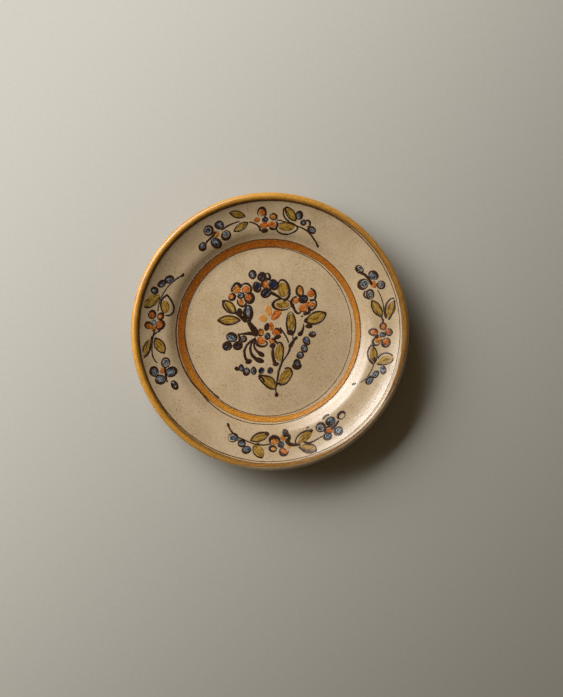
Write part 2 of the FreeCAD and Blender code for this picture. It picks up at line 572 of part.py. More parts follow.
def top_sprig(brush):
    brush.petal("blue", -59.8, -3.2, 8.2, 7.0, 30, line=1.6, heavy=250, lean=0.5, core=0.6)
    brush.stroke("stem", [(-57.0, -3.8), (-54.0, -1.8), (-48.0, -0.8), (-43.6, 1.4)], 1.3, 2.6)
    brush.petal("blue", -47.2, 5.6, 9.6, 8.8, 30, line=1.3, heavy=330, lean=0.5, core=0.6)
    brush.petal("blue", -37.0, 5.4, 8.4, 7.8, -20, line=1.2, heavy=200, lean=0.4, core=0.7)
    brush.petal("blue", -47.2, -7.6, 10.8, 9.0, 110, line=1.6, heavy=290, lean=0.6, core=0.75)
    brush.petal("blue", -35.4, -5.6, 9.4, 8.6, 20, line=1.4, heavy=250, lean=0.7, core=0.6)
    brush.dab("orange", -43.2, -0.6, 4.8, 4.2, 0)
    brush.stroke("stem", [(-36.6, 1.0), (-32.6, 1.5), (-27.0, 2.1), (-19.6, 2.2)], 1.8, 0.9)
    brush.leaf((-13.0, 5.2), (-25.6, 12.4), 6.6, line=0.8, inset=0.6)
    brush.leaf((-11.6, -0.2), (-27.4, -4.8), 6.6, line=0.8, inset=0.6)
    brush.stroke("stem", [(-10.4, -0.4), (-6.8, -2.2), (-3.8, -4.4), (-1.8, -9.0)], 1.2, 1.6)
    brush.dab("orange", -4.0, 0.5, 4.6, 3.4, 0)
    brush.dab("orange", 1.4, 6.9, 5.4, 4.6, 90)
    brush.ring(1.2, 6.6, 10.4, 8.4, 90, line=1.1, heavy=60, lean=1.1)
    brush.petal("orange", 11.2, 2.8, 7.4, 6.2, -10, line=1.0, heavy=20, lean=0.5, core=0.7)
    brush.dab("orange", 2.2, -4.6, 6.8, 4.4, 0)
    brush.dab("orange", 9.4, -4.4, 6.4, 4.4, 0)
    brush.stroke("outlines", [(13.6, -1.6), (15.0, -5.2), (12.6, -8.0), (8.4, -7.6)], 1.1, 2.0)
    brush.dab("outlines", 2.6, -9.6, 6.4, 3.8, 0)
    brush.petal("blue", 3.6, 0.1, 5.6, 4.8, 20, line=0.8, heavy=30, lean=0.6, core=0.95)
    brush.leaf((31.6, 1.2), (20.2, 12.6), 7.6, line=0.9, inset=0.5)
    brush.stroke("outlines", [(19.6, 11.0), (19.4, 6.4), (21.2, 2.6), (25.0, 0.2)], 0.9, 1.2)
    brush.dab("leaf", 23.6, -5.0, 13.4, 7.0, 6)
    route = [(14.2, -5.0), (15.4, -9.8), (20.0, -12.0), (27.4, -11.0), (34.4, -5.6)]
    brush.stroke("outlines", route, 1.0, 1.3)
    brush.stroke("outlines", [(16.0, -3.4), (22.0, -1.4), (28.0, -0.8), (34.6, -5.0)], 0.7, 1.0)
    route = [(14.6, -0.2), (20.0, -0.6), (30.0, -2.4), (43.0, -4.0), (52.0, -8.0), (58.6, -11.8)]
    brush.stroke("stem", route, 0.9, 1.5)
    brush.dab("stem", 59.0, -12.2, 3.8, 2.0, -30)
    brush.petal("blue", 32.9, 7.2, 8.0, 6.8, 100, line=1.5, heavy=60, lean=0.6, core=0.8)
    brush.petal("blue", 38.0, 1.8, 5.6, 5.4, 60, line=1.2, heavy=270, lean=0.3, core=0.8)
    brush.ring(41.6, 2.6, 6.4, 6.2, 0, line=0.8, heavy=60, lean=1.1)
    brush.petal("blue", 47.3, -1.9, 8.4, 6.4, -10, line=1.6, heavy=200, lean=0.3, core=0.9)


def right_sprig(brush):
    brush.petal("blue", -60.6, -2.6, 8.6, 6.6, 10, line=1.3, heavy=280, lean=0.8, core=0.5)
    brush.stroke("stem", [(-58.4, -4.6), (-54.6, -1.6), (-50.0, -0.2), (-43.4, 0.4)], 2.2, 2.6)
    brush.petal("blue", -49.4, 5.4, 9.8, 8.0, 20, line=1.2, heavy=110, lean=0.8, core=0.7)
    brush.petal("blue", -39.2, 7.8, 7.8, 7.6, 0, line=1.1, heavy=20, lean=0.5, core=0.6)
    brush.petal("blue", -46.6, -6.8, 10.4, 9.4, 110, line=1.5, heavy=270, lean=0.9, core=0.65)
    brush.petal("blue", -35.2, -4.4, 9.4, 7.4, -10, line=1.2, heavy=170, lean=0.5, core=0.6)
    brush.dab("orange", -42.2, 1.8, 5.8, 4.0, 10)
    brush.stroke("outlines", [(-39.6, -7.6), (-36.4, -9.8), (-31.6, -6.6)], 1.1, 1.6)
    brush.stroke("stem", [(-36.2, 3.2), (-31.0, 4.0), (-25.0, 4.2), (-17.0, 3.4)], 0.7, 0.8)
    brush.fill((-11.4, 6.6), (-23.6, 14.2), 7.0)
    route = [(-25.2, 15.4), (-25.8, 12.0), (-23.0, 7.6), (-17.6, 4.6), (-11.4, 4.6)]
    brush.stroke("outlines", route, 1.0, 2.0)
    brush.stroke("outlines", [(-23.6, 14.6), (-18.6, 13.2), (-12.4, 9.4), (-9.6, 7.0)], 1.1, 1.5)
    brush.leaf((-11.6, 1.2), (-29.6, -4.8), 8.4, line=1.0, inset=0.5)
    brush.stroke("stem", [(-11.8, 0.4), (-8.4, 1.6), (-6.2, 0.8)], 1.2, 1.7)
    brush.petal("orange", -3.8, 1.4, 7.0, 6.4, 0, line=0.8, heavy=220, lean=0.8, core=0.8)
    brush.petal("orange", 1.4, 6.4, 7.2, 6.8, 20, line=1.0, heavy=60, lean=0.8, core=0.85)
    brush.petal("orange", 10.6, 4.2, 9.2, 8.0, -30, line=1.3, heavy=0, lean=0.5, core=0.8)
    brush.dab("orange", 8.4, -2.8, 5.0, 5.0, 40)
    brush.ring(10.4, -4.6, 8.2, 7.4, -30, line=0.9, heavy=300, lean=1.0)
    brush.dab("outlines", 5.6, -4.4, 4.2, 3.6, 0)
    brush.petal("orange", 1.4, -7.6, 8.6, 6.8, 90, line=1.0, heavy=250, lean=0.6, core=0.8)
    brush.petal("blue", 3.6, 1.0, 5.6, 4.8, 100, line=0.9, heavy=90, lean=0.6, core=0.95)
    brush.fill((29.6, 0.6), (21.6, 12.8), 7.2)
    brush.stroke("outlines", [(20.4, 11.6), (19.2, 7.0), (20.8, 2.2), (25.0, -0.4)], 0.8, 1.2)
    brush.stroke("outlines", [(24.0, 13.0), (28.4, 8.6), (30.0, 4.2), (30.4, 0.4)], 0.7, 1.3)
    brush.leaf((32.6, -2.8), (13.4, -8.6), 9.4, line=0.9, inset=1.0)
    brush.dab("outlines", 27.0, -3.4, 4.6, 2.4, 15)
    brush.stroke("stem", [(29.0, -2.6), (36.0, -2.8), (45.0, -4.0), (52.4, -7.0)], 0.9, 0.8)
    brush.dab("stem", 57.4, -11.4, 3.8, 1.8, -35)
    brush.petal("blue", 34.0, 7.0, 7.8, 5.6, 20, line=1.1, heavy=70, lean=1.1, core=0.9)
    brush.petal("blue", 39.6, 2.0, 7.6, 5.2, -10, line=1.2, heavy=110, lean=0.4, core=0.9)
    brush.petal("blue", 46.8, -1.0, 9.0, 6.4, -10, line=1.0, heavy=240, lean=0.9, core=0.7)


def bottom_sprig(brush):
    brush.ring(-58.0, -1.8, 8.8, 6.8, 0, line=1.4, heavy=270, lean=0.7)
    brush.stroke("stem", [(-52.4, 0.8), (-49.0, 1.8), (-44.6, 2.6)], 1.8, 3.6)
    brush.petal("blue", -47.6, 8.0, 8.8, 7.8, 0, line=1.1, heavy=10, lean=0.6, core=0.7)
    brush.petal("blue", -37.4, 7.0, 8.6, 7.0, -20, line=1.1, heavy=0, lean=0.6, core=0.7)
    brush.petal("blue", -46.6, -3.2, 9.6, 7.8, 0, line=1.4, heavy=20, lean=0.7, core=0.75)
    brush.petal("blue", -36.0, -3.2, 9.4, 8.8, 0, line=1.4, heavy=200, lean=0.6, core=0.6)
    brush.dab("orange", -41.0, 3.2, 5.8, 4.8, 0)
    brush.ring(-40.6, 2.2, 8.2, 6.6, 0, line=1.0, heavy=330, lean=1.3)
    brush.stroke("outlines", [(-48.6, -9.0), (-45.4, -9.6), (-42.4, -8.8)], 1.2, 1.5)
    brush.stroke("stem", [(-33.4, 4.8), (-28.0, 5.2), (-21.6, 5.6), (-16.8, 3.0)], 0.9, 1.6)
    brush.fill((-12.2, 6.6), (-23.8, 14.6), 7.4)
    brush.stroke("outlines", [(-23.8, 14.8), (-24.6, 10.6), (-21.4, 6.8), (-16.8, 5.4)], 1.0, 0.8)
    brush.stroke("outlines", [(-22.6, 14.6), (-16.8, 12.4), (-12.0, 7.0)], 1.6, 1.6)
    brush.fill((-11.6, 2.8), (-27.4, -3.8), 6.6)
    route = [(-12.6, 4.6), (-9.6, 1.4), (-12.6, -3.0), (-19.0, -5.4), (-26.6, -4.0)]
    brush.stroke("outlines", route, 0.8, 1.8)
    brush.dab("outlines", -26.4, -4.0, 3.6, 2.6, 0)
    brush.dab("outlines", -24.6, -7.8, 3.0, 1.2, 10)
    brush.stroke("stem", [(-12.8, 4.8), (-8.4, 3.8), (-4.6, 2.4), (-2.6, -1.0)], 1.6, 4.2)
    brush.dab("outlines", -4.8, -3.4, 6.6, 2.8, 75)
    brush.dab("outlines", -2.0, -8.0, 7.2, 5.8, 100)
    brush.dab("orange", 1.0, -3.8, 5.4, 2.6, -60)
    brush.dab("ochre", -2.8, 4.6, 4.0, 2.4, 10)
    brush.dab("orange", 1.8, 8.8, 6.6, 5.4, 100)
    brush.ring(1.8, 8.4, 8.8, 7.8, 0, line=1.0, heavy=50, lean=1.2)
    brush.petal("ochre", 10.9, 4.8, 7.8, 6.2, -10, line=1.5, heavy=330, lean=0.5, core=0.8)
    brush.dab("orange", 8.4, -1.8, 5.8, 5.0, 20)
    brush.ring(9.0, -2.8, 10.6, 8.8, -10, line=1.4, heavy=280, lean=1.3)
    brush.petal("blue", 3.5, 1.6, 6.2, 5.4, 10, line=1.1, heavy=30, lean=0.7, core=0.9)
    brush.stroke("stem", [(12.6, 0.4), (18.0, 1.6), (24.0, 1.8), (31.0, 0.8), (41.0, -1.0)], 1.0, 1.0)
    brush.dab("stem", 24.2, 1.4, 3.4, 2.4, 20)
    brush.stroke("stem", [(41.0, -1.0), (47.4, -2.8), (52.4, -5.6), (55.6, -8.6)], 0.9, 1.4)
    brush.dab("stem", 55.6, -8.4, 4.0, 2.4, -40)
    brush.fill((26.8, 2.6), (19.2, 13.2), 8.2)
    brush.stroke("outlines", [(19.2, 13.0), (24.4, 11.8), (27.4, 8.0), (27.2, 3.4)], 1.0, 1.0)
    brush.leaf((31.6, -0.8), (14.0, -8.8), 8.4, line=1.1, inset=0.4, slip=(0.6, 0.4))
    brush.dab("outlines", 16.4, -8.6, 4.4, 3.2, -20)
    brush.petal("blue", 33.0, 8.0, 8.8, 6.8, 20, line=1.3, heavy=100, lean=0.5, core=0.9)
    brush.petal("blue", 38.2, 3.2, 7.4, 6.8, 0, line=1.4, heavy=250, lean=0.3, core=0.8)
    brush.petal("blue", 47.0, 0.4, 9.4, 8.2, 40, line=0.9, heavy=220, lean=0.9, core=0.5)
    brush.dab("blue", 44.0, 0.0, 5.0, 3.4, 0)


def left_sprig(brush):
    brush.petal("blue", -56.2, -2.2, 9.2, 6.2, 0, line=1.7, heavy=180, lean=0.5, core=0.5)
    brush.petal("blue", -46.2, 7.0, 9.6, 8.8, 60, line=1.0, heavy=170, lean=0.4, core=0.75)
    brush.petal("blue", -38.0, 9.6, 9.4, 8.2, 0, line=1.3, heavy=40, lean=0.5, core=0.7)
    brush.petal("blue", -43.6, -4.8, 11.2, 9.2, 95, line=1.5, heavy=270, lean=0.8, core=0.75)
    brush.petal("blue", -33.6, -2.6, 9.4, 8.0, -20, line=1.0, heavy=0, lean=0.2, core=0.65)
    brush.dab("orange", -39.6, 2.4, 4.4, 3.2, -30)
    brush.stroke("stem", [(-50.4, 2.2), (-47.0, 1.8), (-42.6, 0.4), (-39.0, -0.2)], 1.2, 2.6)
    brush.stroke("stem", [(-31.4, 5.0), (-27.0, 6.8), (-20.0, 6.8), (-10.4, 5.4)], 1.0, 1.2)
    brush.fill((-11.0, 7.2), (-23.4, 15.0), 7.2)
    brush.stroke("outlines", [(-25.4, 15.8), (-23.4, 11.8), (-17.4, 7.6), (-9.6, 5.4)], 1.0, 2.2)
    brush.stroke("outlines", [(-22.0, 15.4), (-16.6, 13.2), (-12.6, 10.0)], 0.9, 1.2)
    brush.leaf((-9.6, 3.2), (-25.4, -3.8), 9.2, line=1.0, inset=0.4)
    brush.stroke("stem", [(-9.8, 6.0), (-7.0, 4.2), (-3.2, 3.6)], 2.0, 1.4)
    brush.stroke("stem", [(-7.0, 3.4), (-5.4, 1.4), (-3.8, -1.4)], 1.0, 1.3)
    brush.petal("orange", 0.8, 8.8, 7.4, 6.6, 60, line=1.0, heavy=50, lean=1.0, core=0.9)
    brush.petal("orange", 10.2, 6.4, 8.2, 7.2, -10, line=1.2, heavy=340, lean=0.5, core=0.75)
    brush.petal("orange", 9.6, -1.4, 7.2, 6.2, -20, line=1.5, heavy=290, lean=0.5, core=0.85)
    brush.petal("orange", 1.4, -2.0, 9.8, 7.8, -30, line=1.4, heavy=250, lean=0.8, core=0.95)
    brush.dab("orange", -2.2, 4.0, 4.6, 2.8, 10)
    brush.dab("blue", 3.5, 4.2, 4.4, 3.6, 10)
    brush.fill((27.0, 3.8), (16.0, 14.4), 9.0)
    brush.stroke("outlines", [(15.2, 14.0), (15.4, 9.8), (19.6, 6.4), (25.8, 3.2)], 1.0, 1.0)
    brush.dab("leaf", 18.6, -3.4, 10.6, 7.2, 12)
    route = [(11.2, -6.0), (12.8, -10.2), (17.8, -11.8), (23.6, -9.8), (29.6, -3.2)]
    brush.stroke("outlines", route, 1.1, 1.4)
    brush.stroke("outlines", [(13.0, -3.2), (18.0, 0.0), (24.0, 0.8), (29.8, -2.4)], 0.7, 1.6)
    brush.stroke("stem", [(14.0, 2.0), (22.0, 2.2), (33.0, 0.8), (44.0, -2.6), (53.0, -6.8)], 0.9, 1.3)
    brush.dab("stem", 53.4, -7.0, 3.8, 2.4, -20)
    brush.petal("blue", 30.2, 9.4, 7.2, 6.4, 60, line=1.5, heavy=330, lean=0.4, core=0.9)
    brush.petal("blue", 37.6, 5.8, 8.2, 6.0, -30, line=1.4, heavy=60, lean=0.5, core=0.8)
    brush.petal("blue", 43.8, 1.4, 9.0, 7.0, -40, line=1.4, heavy=40, lean=0.4, core=0.8)


def one_layer(shape):
    # Redraws flat faces that touch as one, from the edges that belong to a single face.
    rim = [edge for edge in shape.Edges if len(shape.ancestorsOfType(edge, Part.Face)) == 1]
    return Part.makeFace([Part.Wire(loop) for loop in Part.sortEdges(rim)], "Part::FaceMakerBullseye")


def joined(marks):
    return one_layer(marks[0].multiFuse(marks[1:])) if len(marks) > 1 else marks[0]


def painted_node(name, marks, skin):
    # Flat marks are drawn up through the paint skin, which trims them to the plate's own surface.
    drawing = doc.addObject("Part::Feature", f"{name}_marks")
    drawing.Shape = marks
    drawing.Visibility = False
    raised = doc.addObject("Part::Extrusion", f"{name}_raised")
    raised.Base = drawing
    raised.DirMode = "Custom"
    raised.Dir = Vector(0, 0, 1)
    raised.Solid = True
    raised.setExpression("LengthFwd", bound("beadZ + beadRadius"))
    node = doc.addObject("Part::Common", name)
    node.Base = raised
    node.Tool = skin
    node.Label = name
    doc.recompute()
    return node


def painted_group(prefix, brush, order, skin):
    # Colours laid later stop at the edges of the ones before them.
    nodes = []
    covered = None
    for colour in order:
        marks = joined(brush.marks[colour])
        if covered:
            marks = marks.cut(covered)
        covered = covered.fuse(marks) if covered else marks
        nodes.append(painted_node(f"{prefix}_{colour}", marks, skin))
    return nodes


def bouquet_nodes(skin):
    scale = value("floorRadius / bouquetReach")
    brush = Brush(lambda x, y: (x * scale, y * scale, 0), scale)
    bouquet(brush)
    order = ("stems", "outlines", "cobalt", "blue", "orange", "ochre", "leaf")
    return painted_group("bouquet", brush, order, skin)


def sprig_nodes(side, paint, skin):
    scale = value("(flangeEnd - outerLineEnd) / sprigReach")
    middle = value("sprigRadius")
    start = value(f"{side}SprigAngle")

    def place(along, out):
        angle = start - degrees(along * scale / middle)
        reach = middle + out * scale
        return reach * cos(radians(angle)), reach * sin(radians(angle)), angle - 90

    brush = Brush(place, scale)
    paint(brush)
    colours = ("stem", "outlines", "blue", "orange", "ochre", "leaf")
    order = [colour for colour in colours if colour in brush.marks]
    return painted_group(f"{side}_sprig", brush, order, skin)


def build():
    nodes = [stoneware_body(), face_glaze(), back_glaze(), recess_glaze(), rim_band()]
    nodes.append(face_ring("rim_line", flange, "flangeBend", "rimLineStart", "rimLineEnd"))
    nodes.append(face_ring("well_band", cove, "coveBend", "bandStart", "bandEnd"))
    nodes.append(face_ring("well_line_inner", cove, "coveBend", "innerLineStart", "innerLineEnd"))
    nodes.append(face_ring("well_line_outer", cove, "coveBend", "outerLineStart", "outerLineEnd"))
    skin = paint_skin()
    nodes += bouquet_nodes(skin)
    painters = {"top": top_sprig, "right": right_sprig, "bottom": bottom_sprig, "left": left_sprig}
    for side, paint in painters.items():
        nodes += sprig_nodes(side, paint, skin)
    return nodes


def check(nodes):
    faults = [thing.Name for thing in doc.Objects if {"Invalid", "Error"} & set(thing.State)]
    for node in nodes:
        if node.Shape.isNull() or not node.Shape.isValid() or not node.Shape.Solids:
            faults.append(node.Label)
    if faults:
        sys.exit("faulty: " + ", ".join(faults))


def write(nodes):
    os.makedirs("parts", exist_ok=True)
    for node in nodes:
        node.Shape.exportStep(f"parts/{node.Label}.step")
        print(f"{node.Label}: {len(node.Shape.Solids)} solids, {node.Shape.Volume:.1f} mm3")


doc.recompute()
nodes = build()
doc.recompute()
check(nodes)
write(nodes)
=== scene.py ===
import math

import bpy
import numpy as np
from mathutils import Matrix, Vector, noise
from mathutils.geometry import delaunay_2d_cdt
from mathutils.kdtree import KDTree


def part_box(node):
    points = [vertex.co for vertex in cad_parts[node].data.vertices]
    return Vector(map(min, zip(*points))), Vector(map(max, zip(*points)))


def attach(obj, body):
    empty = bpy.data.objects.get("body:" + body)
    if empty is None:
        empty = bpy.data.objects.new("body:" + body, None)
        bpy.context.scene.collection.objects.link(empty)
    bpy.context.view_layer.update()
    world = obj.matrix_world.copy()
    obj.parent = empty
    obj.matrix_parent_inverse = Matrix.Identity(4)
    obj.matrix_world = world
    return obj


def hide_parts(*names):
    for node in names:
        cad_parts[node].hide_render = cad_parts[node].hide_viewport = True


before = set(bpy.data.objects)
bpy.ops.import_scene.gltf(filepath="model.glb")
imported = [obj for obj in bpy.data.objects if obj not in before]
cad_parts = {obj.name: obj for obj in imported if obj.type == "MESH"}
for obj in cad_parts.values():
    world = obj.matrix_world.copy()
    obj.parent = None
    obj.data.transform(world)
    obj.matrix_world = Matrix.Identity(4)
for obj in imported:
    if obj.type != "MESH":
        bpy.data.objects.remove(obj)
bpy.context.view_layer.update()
mm = 0.001
print("frame loaded,", len(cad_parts), "nodes")

# light, camera and table

studio = {
    "viewTall": 0.6345,  # metres of table from the top of the view to the bottom
    "plateLeft": 0.0105,  # the plate sits this far left of and above the middle of the view
    "plateUp": 0.0154,
    "cameraHeight": 2.6,
    "sensor": 24.0,
    "farthest": 20.0,
    "windowAzimuth": 141.0,  # the soft light comes from here, counted round from +X
    "windowAway": 0.80,
    "windowHeight": 0.46,
    "windowWide": 1.70,
    "windowTall": 0.60,
    "windowAim": 0.26,  # how far short of the plate it points
    "windowSpread": 77.0,
    "windowPower": 6.6,
    "windowColour": (1.0, 1.0, 1.01),
    "roomColour": (1.0, 0.74, 0.42),
    "roomStrength": 0.075,
}


def aimAt(thing, target):
    thing.rotation_euler = (Vector(target) - thing.location).to_track_quat("-Z", "Y").to_euler()


def setStudio(look):
    scene = bpy.context.scene
    scene.view_settings.view_transform = "Standard"
    camera = bpy.data.objects.new("camera", bpy.data.cameras.new("camera"))
    scene.collection.objects.link(camera)
    camera.location = (look["plateLeft"], -look["plateUp"], look["cameraHeight"])
    camera.data.sensor_fit = "VERTICAL"
    camera.data.sensor_height = look["sensor"]
    camera.data.lens = camera.data.sensor_height * look["cameraHeight"] / look["viewTall"]
    camera.data.clip_end = look["farthest"]
    scene.camera = camera

    window = bpy.data.objects.new("window", bpy.data.lights.new("window", "AREA"))
    scene.collection.objects.link(window)
    azimuth = math.radians(look["windowAzimuth"])
    away = look["windowAway"]
    window.location = (away * math.cos(azimuth), away * math.sin(azimuth), look["windowHeight"])
    window.data.shape = "RECTANGLE"
    window.data.size = look["windowWide"]
    window.data.size_y = look["windowTall"]
    window.data.energy = look["windowPower"]
    window.data.color = look["windowColour"]
    window.data.spread = math.radians(look["windowSpread"])
    aim = look["windowAim"]
    aimAt(window, (aim * math.cos(azimuth), aim * math.sin(azimuth), 0))

    world = bpy.data.worlds.new("room")
    scene.world = world
    world.use_nodes = True
    sky = world.node_tree.nodes["Background"]
    sky.inputs["Color"].default_value = (*look["roomColour"], 1)
    sky.inputs["Strength"].default_value = look["roomStrength"]


setStudio(studio)
print("studio set")

# sections and surfaces of the turned clay


def meshOf(node):
    # a node's corners with doubles joined, and its triangles
    grain = 0.002 * mm  # corners nearer than this are one
    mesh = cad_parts[node].data
    mesh.calc_loop_triangles()
    places = np.empty(len(mesh.vertices) * 3)
    mesh.vertices.foreach_get("co", places)
    places = places.reshape(-1, 3)
    triangles = np.empty(len(mesh.loop_triangles) * 3, int)
    mesh.loop_triangles.foreach_get("vertices", triangles)
    rounded = np.round(places / grain)
    _, first, same = np.unique(rounded, axis=0, return_index=True, return_inverse=True)
    triangles = same.ravel()[triangles].reshape(-1, 3)
    whole = (triangles[:, 0] != triangles[:, 1]) & (triangles[:, 1] != triangles[:, 2])
    whole &= triangles[:, 2] != triangles[:, 0]
    return places[first], triangles[whole]


def sectionOf(node):
    # walks the seam of a turned node: rows of radius and height, in order
    seamWidth = 0.002 * mm
    places, triangles = meshOf(node)
    onSeam = (np.abs(places[:, 1]) < seamWidth) & (places[:, 0] > 0)
    beside = {}
    for triangle in triangles[onSeam[triangles].sum(axis=1) > 1]:
        for one, other in ((0, 1), (1, 2), (2, 0)):
            a, b = int(triangle[one]), int(triangle[other])
            if onSeam[a] and onSeam[b]:
                beside.setdefault(a, set()).add(b)
                beside.setdefault(b, set()).add(a)
    ends = [corner for corner in beside if len(beside[corner]) == 1]
    closed = not ends
    widest = max(beside, key=lambda corner: places[corner][0])
    start = widest if closed else max(ends, key=lambda corner: places[corner][2])
    walk = [start]
    ahead = min(beside[start], key=lambda corner: places[corner][2]) if closed else min(beside[start])
    while ahead is not None:
        walk.append(ahead)
        ahead = next((corner for corner in beside[ahead] if corner not in (walk[-2], start)), None)
    rows = [(places[corner][0], places[corner][2]) for corner in walk]
    if not closed:
        rows = [(0.0, rows[0][1])] + rows + [(0.0, rows[-1][1])]
    return np.array(rows)


def smoothRun(rows, step):
    # adds points between a section's corners, along its bends, no further apart than step
    sharp = math.radians(35)  # a turn beyond this stays a corner
    uneven = 8  # and so does a jump in spacing beyond this
    moves = np.diff(rows, axis=0)
    lengths = np.linalg.norm(moves, axis=1)
    headings = np.arctan2(moves[:, 1], moves[:, 0])
    turns = np.abs((np.diff(headings) + np.pi) % (2 * np.pi) - np.pi)
    jumps = np.maximum(lengths[1:], lengths[:-1]) / np.minimum(lengths[1:], lengths[:-1])
    corners = [i + 1 for i in range(len(turns)) if turns[i] > sharp or jumps[i] > uneven]
    cuts = [0] + corners + [len(rows) - 1]
    out = [rows[0]]
    for first, last in zip(cuts[:-1], cuts[1:]):
        knots = rows[first:last + 1]
        gaps = lengths[first:last]
        slopes = np.diff(knots, axis=0) / gaps[:, None]
        tangents = np.empty_like(knots)
        if len(knots) == 2:
            tangents[:] = slopes[0]
        else:
            before, after = gaps[:-1, None], gaps[1:, None]
            tangents[1:-1] = (slopes[:-1] * after + slopes[1:] * before) / (before + after)
            tangents[0] = 2 * slopes[0] - tangents[1]
            tangents[-1] = 2 * slopes[-1] - tangents[-2]
        for i, gap in enumerate(gaps):
            count = max(1, math.ceil(gap / step))
            for k in range(1, count + 1):
                u = k / count
                out.append(
                    knots[i] * (2 * u**3 - 3 * u**2 + 1) + tangents[i] * gap * (u**3 - 2 * u**2 + u)
                    + knots[i + 1] * (3 * u**2 - 2 * u**3) + tangents[i + 1] * gap * (u**3 - u**2)
                )
    return np.array(out)


turning = {
    "around": 480,  # points round each ring
    "fine": 0.8 * mm,
    "coarse": 5.0 * mm,
    "faceRing": 0.010 * mm,  # depth of the throwing rings on the face
    "faceRingPitch": 4.6 * mm,
    "backRing": 0.045 * mm,
    "backRingPitch": 3.4 * mm,
    "ringSwell": 0.3,  # share by which the rings deepen and fade
    "ringBeat": 5.3,  # over this many of them
    "lipFade": 6 * mm,  # the face's rings die out over this, inside the rim line
    "backStart": 12 * mm,  # the back's rings begin this far outside the foot
    "backFadeIn": 8 * mm,
    "backEnd": 4 * mm,  # and end this far inside the rim
    "backFadeOut": 5 * mm,
    "recessEnd": 3 * mm,
    "recessFade": 5 * mm,
    "warp": 0.16 * mm,  # height of the rim's main wave, two to a turn
    "warpPhase": 0.6,
    "threeWarp": 0.45,  # share of the second wave, three to a turn
    "threePhase": 1.0,
    "runStep": 0.1 * mm,  # the face's line is read at least this finely
    "axis": 1e-7,  # a point nearer the middle than this is on the axis
}

faceRows = sectionOf("face_glaze")
faceEnd = int(np.argmax(faceRows[:, 0]))
faceRun = smoothRun(faceRows[:faceEnd + 1], turning["runStep"])
faceAlong = np.concatenate([[0], np.cumsum(np.linalg.norm(np.diff(faceRun, axis=0), axis=1))])
faceSlope = np.gradient(faceRun, faceAlong, axis=0)
rimRadius = float(faceRun[-1, 0])
footRadius = float(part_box("recess_glaze")[1].x)
lipRadius = float(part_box("rim_line")[1].x)


def warpOf(radius, angle):
    # the slight unevenness of a hand thrown rim, nothing at the foot
    grow = np.clip((radius - footRadius) / (rimRadius - footRadius), 0, 1) ** 2
    second = turning["threeWarp"] * np.cos(3 * angle - turning["threePhase"])
    return turning["warp"] * grow * (np.cos(2 * angle + turning["warpPhase"]) + second)


def ringsOf(radius, angle, side):
    # one long spiral groove, deeper and shallower as it goes
    pitch, swell = turning[side + "RingPitch"], turning["ringSwell"]
    wave = np.sin(2 * np.pi * radius / pitch - angle)
    beat = np.sin(2 * np.pi * radius / (pitch * turning["ringBeat"]) + 2 * angle)
    return turning[side + "Ring"] * wave * (1 - swell + swell * beat)


def ramp(distance, reach):
    return np.clip(distance / reach, 0, 1)


def faceLift(radius, angle):
    fade = ramp(lipRadius - radius, turning["lipFade"])
    return warpOf(radius, angle) + ringsOf(radius, angle, "face") * fade


def backLift(radius, angle):
    fade = ramp(radius - footRadius - turning["backStart"], turning["backFadeIn"])
    fade *= ramp(rimRadius - turning["backEnd"] - radius, turning["backFadeOut"])
    return warpOf(radius, angle) + ringsOf(radius, angle, "back") * fade


def recessLift(radius, angle):
    fade = ramp(footRadius - turning["recessEnd"] - radius, turning["recessFade"])
    return ringsOf(radius, angle, "back") * fade


def faceHeight(radius, angle):
    return np.interp(radius, faceRun[:, 0], faceRun[:, 1]) + faceLift(radius, angle)


def fromRows(name, rows, faces):
    mesh = bpy.data.meshes.new(name)
    mesh.from_pydata([tuple(row) for row in rows], [], faces)
    mesh.update()
    mesh.polygons.foreach_set("use_smooth", [True] * len(mesh.polygons))
    piece = bpy.data.objects.new(name, mesh)
    bpy.context.scene.collection.objects.link(piece)
    return piece


def standFor(piece, slot, *nodes):
    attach(piece, "root")
    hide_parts(*nodes)


def turnPiece(name, run, lift):
    # turns a closed section round the axis, a point on the axis becoming one corner
    around = turning["around"]
    angles = np.arange(around) * 2 * np.pi / around
    rows, rings, faces = [], [], []
    for radius, height in run:
        if radius < turning["axis"]:
            rings.append([len(rows)] * around)
            rows.append((0, 0, height))
            continue
        rings.append(list(range(len(rows), len(rows) + around)))
        heights = height + lift(radius, angles)
        rows.extend(zip(radius * np.cos(angles), radius * np.sin(angles), heights))
    pairs = list(zip(rings[:-1], rings[1:]))
    if run[0][0] > turning["axis"]:
        pairs.append((rings[-1], rings[0]))
    for inner, outer in pairs:
        for i in range(around):
            j = (i + 1) % around
            corners = [inner[i], outer[i], outer[j], inner[j]]
            corners = [corner for k, corner in enumerate(corners) if corner != corners[k - 1]]
            if len(corners) > 2:
                faces.append(corners)
    piece = fromRows(name, rows, faces)
    outward = sum(a[0] * b[1] - b[0] * a[1] for a, b in zip(run, np.roll(run, -1, axis=0)))
    if outward > 0:
        piece.data.flip_normals()
    return piece


def splitRun(rows, last):
    # the side that shows in fine steps, and the side against the clay in coarse ones
    shown = smoothRun(rows[:last + 1], turning["fine"])
    hidden = smoothRun(rows[last:], turning["coarse"])
    return np.concatenate([shown, hidden[1:]])


